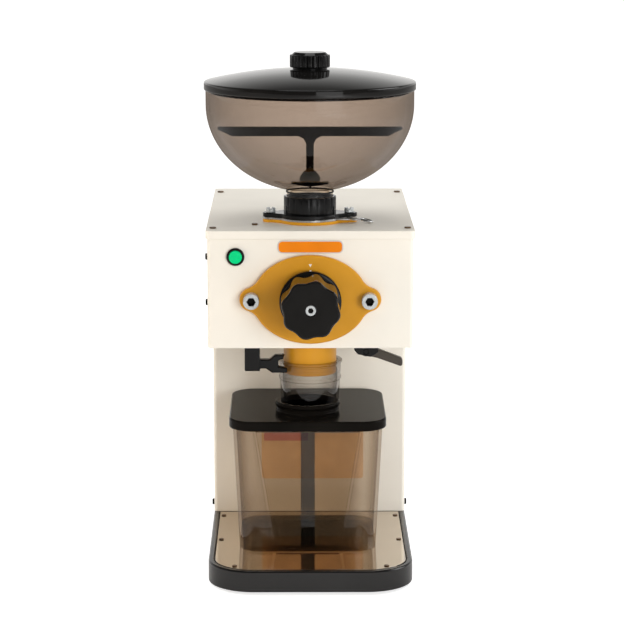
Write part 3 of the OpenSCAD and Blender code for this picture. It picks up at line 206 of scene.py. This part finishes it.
BASE = material("black_enamel", (0.008, 0.0075, 0.0075), 0.17, vary=0.3, grain=500, bump=0.01)
RUBBER = material("rubber", (0.02, 0.02, 0.02), 0.7, vary=0.2, grain=2500, bump=0.08)
ZINC = material("zinc", (0.60, 0.63, 0.64), 0.26, 0.5, vary=0.08, patch=300, grain=2500, bump=0.02)
STEEL = material("steel", (0.60, 0.60, 0.60), 0.28, 1.0, vary=0.06, grain=1800, bump=0.015,
                 stretch=(1, 12, 1))
DARK_STEEL = material("dark_steel", (0.30, 0.29, 0.28), 0.35, 1.0, vary=0.1, grain=1800, bump=0.02)
BRONZE = material("bronzed_screws", (0.20, 0.13, 0.08), 0.30, 1.0, vary=0.15, patch=200, grain=1800,
                  bump=0.02)
TRAY = material("polished_tray", (0.70, 0.62, 0.52), 0.10, 1.0, vary=0.05, grain=900, bump=0.002,
                rough_vary=0.04, stretch=(1, 30, 1))
GREEN = material("green_button", (0.001, 0.66, 0.23), 0.25, vary=0.06, bump=0.01, Specular_IOR_Level=0.12)
ORANGE = material("orange_lacquer", (0.80, 0.22, 0.005), 0.30, vary=0.05, patch=60, bump=0.01,
                  Specular_IOR_Level=0.12)
PLATE_RIM = material("plate_rim", (0.60, 0.58, 0.55), 0.35, vary=0.04, bump=0.01)
WHITE = material("white_print", (0.85, 0.84, 0.80), 0.45, vary=0.03, bump=0.01)
LABEL = material("amber_label", (0.88, 0.62, 0.37), 0.55, vary=0.08, patch=60, grain=1200, bump=0.01)
LABEL_BAND = material("pink_band", (0.70, 0.27, 0.24), 0.55, vary=0.12, patch=60, grain=1200, bump=0.01)
COPPER = material("enamelled_copper", (0.45, 0.17, 0.05), 0.35, 1.0, vary=0.15, patch=200, bump=0.05)
ALLOY = material("cast_alloy", (0.50, 0.51, 0.52), 0.42, 1.0, vary=0.08, grain=1400, bump=0.05)
IRON = material("laminated_iron", (0.22, 0.22, 0.23), 0.45, 1.0, vary=0.1, grain=1500, bump=0.03,
                stretch=(1, 8, 1))
PALE = material("white_plastic", (0.75, 0.75, 0.72), 0.4, vary=0.03, bump=0.01)
SMOKE = film("smoked_bowl", (0.62, 0.54, 0.475), (0.33, 0.29, 0.255), shine=0.10, ior=1.3)
SMOKE_INNER = film("smoked_bowl_inside", (0.985, 0.98, 0.975), (0.95, 0.94, 0.93), shine=0.05, ior=1.3)
BOX_SMOKE = film("smoked_container", (0.96, 0.92, 0.87), (0.70, 0.635, 0.56), shine=0.12)
CLEAR = film("clear_spout", (0.95, 0.94, 0.925), (0.50, 0.47, 0.44), shine=0.35)


# Building blocks

# Distances in metres below which points are one, in new meshes and in copies of CAD meshes
NEW_WELD, CAD_WELD = 1e-7, 1e-6
# Turn in degrees below which neighbouring CAD faces are one flat face
FLAT_TURN = 0.4
# Angle in degrees from which an edge is sharp enough to be rounded
BEVEL_ANGLE = 35.0
# Radius of a turned profile's points on its axis
AT_AXIS = 0.01


def finish_piece(obj, mat, body, nodes=(), sharp=38.0):
    """Shades a piece, gives it its material and ties it to its CAD body and nodes."""
    mesh = obj.data
    for poly in mesh.polygons:
        poly.use_smooth = True
    mesh.set_sharp_from_angle(angle=math.radians(sharp))
    mesh.materials.clear()
    mesh.materials.append(mat)
    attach(obj, body)
    if nodes:
        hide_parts(*nodes)


def new_piece(name, verts, faces):
    """Mesh object from points in millimetres, with its normals turned outwards."""
    mesh = bpy.data.meshes.new(name)
    mesh.from_pydata([Vector(v) * MM for v in verts], [], faces)
    bm = bmesh.new()
    bm.from_mesh(mesh)
    bmesh.ops.remove_doubles(bm, verts=bm.verts, dist=NEW_WELD)
    bmesh.ops.recalc_face_normals(bm, faces=bm.faces)
    bm.to_mesh(mesh)
    bm.free()
    obj = bpy.data.objects.new(name, mesh)
    bpy.context.scene.collection.objects.link(obj)
    return obj


def add_bevel(obj, width, segments=3):
    """Rounds the sharp edges of a piece and keeps the shading of its flat faces flat."""
    mod = obj.modifiers.new("edges", "BEVEL")
    mod.width = width * MM
    mod.segments = segments
    mod.limit_method = "ANGLE"
    mod.angle_limit = math.radians(BEVEL_ANGLE)
    mod.use_clamp_overlap = False
    mod.harden_normals = True
    flat = obj.modifiers.new("flat_faces", "WEIGHTED_NORMAL")
    flat.weight = 100
    flat.keep_sharp = True


def dress(node, mat, bevel):
    """Copy of a CAD node with flat faces joined and sharp edges rounded, which stands for the node."""
    mesh = frame["nodes"][node].data.copy()
    bm = bmesh.new()
    bm.from_mesh(mesh)
    bmesh.ops.remove_doubles(bm, verts=bm.verts, dist=CAD_WELD)
    bmesh.ops.dissolve_limit(bm, angle_limit=math.radians(FLAT_TURN), verts=bm.verts, edges=bm.edges)
    bm.to_mesh(mesh)
    bm.free()
    obj = bpy.data.objects.new(node + "_skin", mesh)
    bpy.context.scene.collection.objects.link(obj)
    finish_piece(obj, mat, HOME[node], [node], sharp=BEVEL_ANGLE)
    if bevel:
        add_bevel(obj, bevel, segments=2)
    return obj


def fillet(points, steps=5):
    """Closed profile of (u, v, radius) points, with each corner rounded by about its radius."""
    most = 0.48  # share of a side that one corner may take
    out = []
    for i, (u, v, r) in enumerate(points):
        p = Vector((u, v))
        if r <= 0:
            out.append(p)
            continue
        a = Vector(points[i - 1][:2]) - p
        b = Vector(points[(i + 1) % len(points)][:2]) - p
        half = a.angle(b) / 2
        cut = min(r / math.tan(half), most * a.length, most * b.length)
        a, b = p + a.normalized() * cut, p + b.normalized() * cut
        for k in range(steps + 1):
            t = k / steps
            out.append(a * (1 - t) ** 2 + p * 2 * t * (1 - t) + b * t ** 2)
    return out


def turned(name, profile, centre, segments, axis="Z", shape=None):
    """Closed (radius, height) profile turned about an axis through a centre.

    shape(angle, radius, height) may change the radius.
    """
    count = len(profile)
    verts, faces = [], []
    for i in range(segments):
        a = 2 * math.pi * i / segments
        for r, h in profile:
            rr = shape(a, r, h) if shape else r
            u, v = rr * math.cos(a), rr * math.sin(a)
            u, v = centre[0] + u, centre[1] + v
            verts.append((u, v, h) if axis == "Z" else (u, h, v))
    for i in range(segments):
        j = (i + 1) % segments
        for k in range(count):
            m = (k + 1) % count
            faces.append((i * count + k, j * count + k, j * count + m, i * count + m))
    return new_piece(name, verts, faces)


def prism_y(name, outline, y0, y1):
    """Outline in X and Z pushed from y0 to y1."""
    count = len(outline)
    verts = [(x, y0, z) for x, z in outline] + [(x, y1, z) for x, z in outline]
    sides = [(i, (i + 1) % count, count + (i + 1) % count, count + i) for i in range(count)]
    return new_piece(name, verts, sides + [tuple(range(count)), tuple(range(count, 2 * count))])


def round_box(x0, z0, x1, z1, r, steps=6):
    """Outline of a rectangle with round corners."""
    return fillet([(x0, z0, r), (x1, z0, r), (x1, z1, r), (x0, z1, r)], steps)


# Pieces with the CAD shape, each with its material and the width of its softened edges in millimetres

for node, mat, width in [
    ("base_frame", BASE, 1.2), ("tray_plate", TRAY, 0.25), ("rubber_feet", RUBBER, 0.6),
    ("column_shell", CREAM, 0.3), ("head_shell", CREAM, 0.3), ("head_top_cover", CREAM, 0.5),
    ("column_back_panel", CREAM, 0.3), ("head_rear_panel", CREAM, 0.3),
    ("steel_screws", BRONZE, 0.25), ("black_screws", BLACK, 0.4), ("column_bolts", ZINC, 0.3),
    ("burr_housing", GOLD, 0.5), ("burr_cover", GOLD, 1.3), ("power_inlet", BLACK, 0.4),
    ("neck_ring", RUBBER, 0.3), ("neck_flange", BLACK, 0.6), ("gate_guide", STEEL, 0.2),
    ("bean_gate", STEEL, 0.0), ("inlet_neck", GOLD, 0.4), ("thumb_screws", ZINC, 0.5),
    ("hopper_neck", BOX_SMOKE, 0.0), ("bean_guard", BLACK, 0.7),
    ("clip_mount", BLACK, 0.4), ("clip_arm", BLACK, 0.9), ("pivot_pins", BLACK, 0.3),
    ("lever_bracket", BLACK, 0.5), ("knocker_lever", PADDLE, 0.8),
    ("container_box", BOX_SMOKE, 0.0), ("container_lid", BOX_BLACK, 1.2),
]:
    dress(node, mat, width)


def build_screws_with_painted_socket_shade(node, offset, radius, width):
    """Zinc screws level with the mill's axis, set off to both sides of it, with painted shade inside
    their sockets.
    """
    lip = 0.2
    obj = dress(node, ZINC, width)
    obj.data.materials.append(SATIN)
    face = corners(node)[0][Y]
    for poly in obj.data.polygons:
        at = poly.center / MM
        # Faces deep in each socket get the near-black satin material: painted shade where the socket's
        # own shadow falls.
        near = min(math.hypot(at.x - x, at.z - AXIS_Z) for x in (-offset, offset))
        if near < radius and at.y > face + lip:
            poly.material_index = 1


BOLT_HEAD_R = 6.2
build_screws_with_painted_socket_shade("cover_bolts", corners("cover_bolts")[1][X] - BOLT_HEAD_R, radius=3.5, width=0.5)
build_screws_with_painted_socket_shade("knob_screw", 0, radius=2.4, width=0.3)

# Pieces inside keep their CAD shape
for node, mat in {
    "button_spring": STEEL, "burr_carrier": ALLOY, "stationary_burr": DARK_STEEL,
    "fixed_burr_screws": DARK_STEEL, "adjust_spindle": STEEL, "rotor_disc": ALLOY,
    "rotating_burr": DARK_STEEL, "turning_burr_screws": DARK_STEEL, "feed_auger": DARK_STEEL,
    "motor_shaft": STEEL, "rotor_core": IRON, "stator_core": IRON, "stator_windings": COPPER,
    "front_end_bell": ALLOY, "rear_end_bell": ALLOY, "shaft_bearings": STEEL, "cooling_fan": SATIN,
    "motor_cradle": ALLOY, "run_capacitor": PALE, "lever_spring": STEEL,
}.items():
    frame["nodes"][node].data.materials.clear()
    frame["nodes"][node].data.materials.append(mat)


# Hopper

BOWL_R, BOWL_TOP = corners("hopper_bowl")[1][X], corners("hopper_bowl")[1][Z]
BOWL_DEPTH, BOWL_WALL, BOWL_BAND = 68.8, 2.5, 11.4
BOWL_MID = BOWL_TOP - BOWL_BAND
NECK_R, BORE_R = corners("hopper_neck")[1][X], 15.5


def bowl_arc(r, depth, to_r, steps=40):
    """Points of the bowl's round bottom, from its rim's radius down to the neck's."""
    end = math.acos(to_r / r)
    return [(r * math.cos(end * i / steps), BOWL_MID - depth * math.sin(end * i / steps), 0)
            for i in range(steps + 1)]


def build_bowl():
    """Smoked bowl with an upright band above a round bottom that ends at the neck."""
    inner_r, inner_depth, lip = BOWL_R - BOWL_WALL, BOWL_DEPTH - BOWL_WALL, 0.8
    profile = [(inner_r, BOWL_TOP, lip), (BOWL_R, BOWL_TOP, lip)]
    profile += bowl_arc(BOWL_R, BOWL_DEPTH, NECK_R)
    profile += bowl_arc(inner_r, inner_depth, BORE_R)[::-1]
    obj = turned("hopper_bowl_shell", fillet(profile), (0, NECK_Y), segments=160)
    finish_piece(obj, SMOKE, "frame", ["hopper_bowl"])
    obj.data.materials.append(SMOKE_INNER)
    for poly in obj.data.polygons:
        outwards = poly.center.x * poly.normal.x + (poly.center.y - NECK_Y * MM) * poly.normal.y
        if outwards < 0:
            poly.material_index = 1


LID_GAP, LID_RIM, LID_RISE, LID_T, LID_KNOB_SEAT = 0.3, 6.3, 9.9, 2.4, 13.6
LID_R = corners("hopper_lid")[1][X]
LID_Z = BOWL_TOP + LID_GAP
LID_EDGE = LID_Z + LID_RIM


def dome(r):
    """Height of the lid's top at a radius, flat under its knob."""
    return LID_EDGE + LID_RISE * (1 - (max(r, LID_KNOB_SEAT) / LID_R) ** 2)


def build_lid():
    """Domed lid with a spigot that sits in the bowl."""
    under_r, spigot_r, spigot_h = 76.7, 78.7, 2.2
    steps = 30
    top = [LID_R - (LID_R - LID_KNOB_SEAT) * i / steps for i in range(1, steps + 1)]
    under = [under_r * i / steps for i in range(1, steps)]
    profile = [(LID_R, LID_Z, 0.9), (LID_R, LID_EDGE, 1.6)]
    profile += [(r, dome(r), 0) for r in top]
    profile += [(AT_AXIS, dome(0), 0), (AT_AXIS, dome(0) - LID_T, 0)]
    profile += [(r, dome(r) - LID_T, 0) for r in under]
    profile += [(under_r, LID_EDGE, 0), (under_r, LID_Z - spigot_h, 0.4),
                (spigot_r, LID_Z - spigot_h, 0.4), (spigot_r, LID_Z, 0.2)]
    obj = turned("hopper_lid_dome", fillet(profile), (0, NECK_Y), segments=160)
    finish_piece(obj, LID_BLACK, "lid", ["hopper_lid"])


def ribbed(count, depth, low, high, least):
    """Shape that cuts upright grooves into a turned piece between two heights, beyond a least radius."""
    def shape(a, r, h):
        if low <= h <= high and r > least:
            groove = max(0.0, math.cos(a * count)) ** 3
            return r - depth * groove
        return r
    return shape


# Points of a ribbed piece's profile within this distance of its outer radius are grooved
RIB_SKIN = 0.9


def build_lid_knob():
    """Ribbed knob on the lid, with a waist below and a stepped, sloping top."""
    r, z0, h, waist = 15.8, dome(0), 13.2, 1.5
    step, slope = 1.9, 3.6
    profile = fillet([
        (AT_AXIS, z0, 0), (LID_KNOB_SEAT, z0, 0.2), (LID_KNOB_SEAT, z0 + waist - 0.4, 0.2),
        (r, z0 + waist, 0.8), (r, z0 + h - step - 0.3, 0.6), (r - 1.4, z0 + h - step, 0.5),
        (r - slope, z0 + h, 1.2), (AT_AXIS, z0 + h, 0),
    ])
    shape = ribbed(22, 1.0, z0 + waist, z0 + h - step, r - RIB_SKIN)
    obj = turned("lid_knob_ribbed", profile, (0, NECK_Y), segments=264, shape=shape)
    finish_piece(obj, BLACK, "lid", ["lid_knob"])


def build_collar():
    """Ribbed nut that holds the hopper's neck, plain at its foot."""
    low, high = corners("collar_nut")
    r, bore, foot = high[X], 18.4, 1.5
    profile = fillet([
        (bore, low[Z], 0.2), (r, low[Z], 0.3), (r, high[Z], 1.0), (bore, high[Z], 0.4),
    ])
    shape = ribbed(20, 0.7, low[Z] + foot, high[Z], r - RIB_SKIN)
    obj = turned("collar_nut_ribbed", profile, (0, NECK_Y), segments=240, shape=shape)
    finish_piece(obj, BLACK, "frame", ["collar_nut"])


build_bowl()
build_lid()
build_lid_knob()
build_collar()


# Face of the head

def build_name_plate():
    """Bare plate: a grey rim with an orange field that stands a little proud of it."""
    low, high = corners("name_plate")
    corner, rim_t, rim_w = 4.2, 0.7, 0.9
    field_corner, field_t, field_back = 3.4, 1.0, 0.5
    outline = round_box(low[X], low[Z], high[X], high[Z], corner)
    rim = prism_y("name_plate_rim", outline, HEAD_FRONT - rim_t, HEAD_FRONT)
    finish_piece(rim, PLATE_RIM, "frame", ["name_plate"])
    add_bevel(rim, 0.25)
    outline = round_box(low[X] + rim_w, low[Z] + rim_w, high[X] - rim_w, high[Z] - rim_w, field_corner)
    field = prism_y("name_plate_field", outline, HEAD_FRONT - field_t, HEAD_FRONT - field_back)
    finish_piece(field, ORANGE, "frame")
    add_bevel(field, 0.15)


def build_button():
    """Black bezel with its barrel behind the panel, and the hollow green cap in it."""
    centre = middle("button_bezel", X), middle("button_bezel", Z)
    segments = 64
    rim, end = (corner[Y] for corner in corners("button_bezel"))
    rim_r, barrel_r, bore_r, bottom = 7.0, 6.0, 5.3, end - 3.0
    bezel = turned("button_bezel_ring", fillet([
        (bore_r, bottom, 0), (bore_r, rim, 0.3), (rim_r, rim, 0.9), (rim_r, HEAD_FRONT, 0.1),
        (barrel_r, HEAD_FRONT, 0), (barrel_r, end, 0.4), (AT_AXIS, end, 0), (AT_AXIS, bottom, 0),
    ]), centre, segments, "Y")
    finish_piece(bezel, BLACK, "frame", ["button_bezel"])
    face, back = (corner[Y] for corner in corners("power_button"))
    cap_r, lip_r, dish_r, dish, hollow_r, roof = 5.0, 4.0, 3.2, 0.3, 3.0, 5.0
    cap = turned("power_button_cap", fillet([
        (AT_AXIS, face + dish, 0), (dish_r, face + dish, 0.8), (lip_r, face, 0.4), (cap_r, face, 0.6),
        (cap_r, back, 0.2), (hollow_r, back, 0.2), (hollow_r, face + roof, 0.2),
        (AT_AXIS, face + roof, 0),
    ]), centre, segments, "Y")
    finish_piece(cap, GREEN, "button", ["power_button"])


def build_knob():
    """Knob with a lobed grip, a plain skirt and a satin face."""
    grip_r, recess_r, screw_r, spindle_r = 23.0, 4.4, 2.3, 6.05
    recess, socket, skirt = KNOB_FRONT + 3.0, KNOB_BACK - 17.5, KNOB_BACK - 6.0
    lobes, deep, crest = 8, 1.9, math.radians(32)
    profile = fillet([
        (recess_r, recess, 0), (recess_r, KNOB_FRONT, 0.5), (grip_r, KNOB_FRONT, 2.0),
        (grip_r, skirt, 0.3), (KNOB_SKIRT_R, skirt + 0.4, 0.5), (KNOB_SKIRT_R, KNOB_BACK, 0.6),
        (spindle_r, KNOB_BACK, 0.3), (spindle_r, socket, 0), (screw_r, socket, 0), (screw_r, recess, 0),
    ])

    def shape(a, r, y):
        valley = deep * (1 - math.cos(lobes * (a - crest))) / 2
        return r - valley if r > grip_r / 2 and y < skirt else r

    obj = turned("adjust_knob_lobed", profile, (0, AXIS_Z), 288, "Y", shape)
    finish_piece(obj, LID_BLACK, "knob", ["adjust_knob"])
    obj.data.materials.append(SATIN)
    for poly in obj.data.polygons:
        if poly.normal.y < -0.95 and poly.center.y < (KNOB_FRONT + 1) * MM:
            poly.material_index = 1


def build_marks():
    """Plain index marks for the grind, on the burr cover and on the knob's skirt."""
    cover_face, skirt_top = HEAD_FRONT - 6.0, AXIS_Z + KNOB_SKIRT_R
    half, tip, tail = 1.2, skirt_top + 1.7, skirt_top + 4.1
    outline = [(-half, tail), (half, tail), (0, tip)]
    arrow = prism_y("cover_index_mark", outline, cover_face - 0.1, cover_face + 0.05)
    finish_piece(arrow, WHITE, "frame")
    half, root, crown = 0.7, skirt_top - 0.3, skirt_top + 0.1
    outline = [(-half, root), (half, root), (half, crown), (-half, crown)]
    line = prism_y("knob_index_mark", outline, KNOB_BACK - 4.8, KNOB_BACK - 1.0)
    finish_piece(line, WHITE, "knob")


build_name_plate()
build_button()
build_knob()
build_marks()


# Spout

def build_spout():
    """Clear spout: a rim, a stepped wall that tapers, and a bead inside that grips the chute."""
    low, high = corners("spout")
    top, end, rim = high[Z], low[Z], high[X]
    wall, chute = rim - 1.0, 21.0
    bore = chute + 0.8
    step, seat, grip = end + 19.7, end + 20.6, end + 25.6
    profile = fillet([
        (bore, top, 0.3), (rim, top, 0.5), (rim, top - 1.7, 0.5), (wall, top - 2.3, 0.4),
        (wall - 0.4, step + 1, 0.4), (wall + 0.2, step, 0.3), (wall + 0.2, step - 1.5, 0.3),
        (wall - 0.6, step - 2.5, 0.3), (wall - 1.7, end, 0.5), (wall - 3.9, end, 0.4),
        (wall - 2.9, step - 2, 0.5), (bore, seat, 0.5), (bore, grip, 0.2),
        (chute + 0.1, grip + 0.7, 0.2), (chute + 0.1, grip + 3, 0.2), (bore, grip + 3.7, 0.2),
    ])
    obj = turned("spout_clear", profile, (0, CHUTE_Y), segments=128)
    finish_piece(obj, CLEAR, "frame", ["spout"])


build_spout()


# Bare label on the column

def build_label():
    """Bare amber label with a pink band in its upper left corner."""
    left, right, bottom, top = -40.0, 45.0, 48.0, 89.0
    label_t, band_t, band_back = 0.15, 0.22, 0.10
    outline = round_box(left, bottom, right, top, 3.0)
    plate = prism_y("column_label", outline, COLUMN_FRONT - label_t, COLUMN_FRONT)
    finish_piece(plate, LABEL, "frame")
    outline = round_box(left + 2.0, top - 8.5, left + 39.0, top - 1.5, 1.0)
    band = prism_y("column_label_band", outline, COLUMN_FRONT - band_t, COLUMN_FRONT - band_back)
    finish_piece(band, LABEL_BAND, "frame")


build_label()


# Floor, light and camera

def seen_directly(tree):
    """1 where the eye looks at a surface, straight or through glass, and 0 for other light."""
    path = tree.nodes.new("ShaderNodeLightPath")
    return combine(tree, "MAXIMUM", path.outputs["Is Camera Ray"], path.outputs["Is Transmission Ray"])


def build_stage():
    """Pale floor that keeps the shadow and looks nearly white to the eye."""
    half, front, back, glow_level = 6000, -4000, 8000, 0.72
    verts = [(-half, front, 0), (half, front, 0), (half, back, 0), (-half, back, 0)]
    floor = new_piece("floor", verts, [(0, 1, 2, 3)])
    mat = bpy.data.materials.new("pale_floor")
    mat.use_nodes = True
    tree = mat.node_tree
    shader = tree.nodes["Principled BSDF"]
    shader.inputs["Base Color"].default_value = (0.86, 0.86, 0.86, 1)
    shader.inputs["Roughness"].default_value = 0.8
    glow = node_at(tree, "ShaderNodeEmission", Color=(1, 1, 1, 1), Strength=glow_level)
    both = tree.nodes.new("ShaderNodeAddShader")
    tree.links.new(shader.outputs["BSDF"], both.inputs[0])
    tree.links.new(glow.outputs["Emission"], both.inputs[1])
    surface = mix_shaders(tree, seen_directly(tree), shader.outputs["BSDF"], both.outputs["Shader"])
    tree.links.new(surface, tree.nodes["Material Output"].inputs["Surface"])
    floor.data.materials.append(mat)


def build_world():
    """White to the eye and through glass, and soft light to the object.

    Reflections see a white backdrop behind the object in a dim room.
    """
    ambient_level, dim_front, dim_top = 0.50, 0.10, 0.12
    world = bpy.data.worlds.new("studio")
    bpy.context.scene.world = world
    world.use_nodes = True
    tree = world.node_tree
    link = tree.links.new
    tree.nodes.clear()
    ambient = node_at(tree, "ShaderNodeBackground", Color=(1, 0.98, 0.95, 1), Strength=ambient_level)
    white = node_at(tree, "ShaderNodeBackground", Color=(1, 1, 1, 1), Strength=1.0)
    room = node_at(tree, "ShaderNodeBackground", Color=(1, 0.99, 0.97, 1))
    place = tree.nodes.new("ShaderNodeTexCoord")
    split = tree.nodes.new("ShaderNodeSeparateXYZ")
    link(place.outputs["Generated"], split.inputs["Vector"])
    behind = node_at(tree, "ShaderNodeMapRange", From_Min=-0.3, From_Max=0.3, To_Min=dim_front,
                     To_Max=1.0)
    above = node_at(tree, "ShaderNodeMapRange", From_Min=0.2, From_Max=0.5, To_Min=1.0, To_Max=dim_top)
    link(split.outputs["Y"], behind.inputs["Value"])
    link(split.outputs["Z"], above.inputs["Value"])
    level = combine(tree, "MULTIPLY", behind.outputs["Result"], above.outputs["Result"])
    link(level, room.inputs["Strength"])
    path = tree.nodes.new("ShaderNodeLightPath")
    reflected = mix_shaders(tree, path.outputs["Is Glossy Ray"], ambient.outputs["Background"],
                            room.outputs["Background"])
    surface = mix_shaders(tree, seen_directly(tree), reflected, white.outputs["Background"])
    out = tree.nodes.new("ShaderNodeOutputWorld")
    link(surface, out.inputs["Surface"])


def add_light(name, place, target, size, power, color=(1, 1, 1), reflected=True):
    """Square soft box at a place, aimed at a target, in metres, that gloss shows if it is reflected."""
    lamp = bpy.data.lights.new(name, "AREA")
    lamp.size = size
    lamp.energy = power
    lamp.color = color
    obj = bpy.data.objects.new(name, lamp)
    obj.visible_glossy = reflected
    obj.location = place
    obj.rotation_euler = (Vector(target) - Vector(place)).to_track_quat("-Z", "Y").to_euler()
    bpy.context.scene.collection.objects.link(obj)


def build_camera():
    """Camera at the photograph's viewing angle."""
    cam = bpy.data.cameras.new("photo_camera")
    cam.sensor_width = 36.0
    cam.lens = 140.0
    cam.clip_end = 50.0
    obj = bpy.data.objects.new("photo_camera", cam)
    obj.location = (-0.01145, -1.96956, 0.56182)
    obj.rotation_euler = (math.radians(79.38), 0, math.radians(-0.39))
    bpy.context.scene.collection.objects.link(obj)
    bpy.context.scene.camera = obj


# Point that the lamps in front aim at, in metres
MILL = (0, -0.05, 0.2)

build_stage()
build_world()
add_light("key", (1.3, -2.6, 0.45), MILL, size=1.2, power=36, reflected=False)
add_light("front", (1.1, -3.0, 0.45), MILL, size=1.6, power=12)
add_light("warm_side", (-1.1, -0.6, 0.25), (0, 0, 0.15), size=0.8, power=2.5, color=(1, 0.6, 0.25),
          reflected=False)
add_light("left", (-1.35, 0.05, 1.0), (0, 0, 0.28), size=0.9, power=10, reflected=False)
add_light("right", (1.35, 0.05, 1.0), (0, 0, 0.28), size=0.9, power=8.5)
add_light("top", (0.0, 0.2, 1.9), (0, 0, 0.25), size=0.75, power=5)
build_camera()
bpy.context.scene.view_settings.view_transform = "Standard"
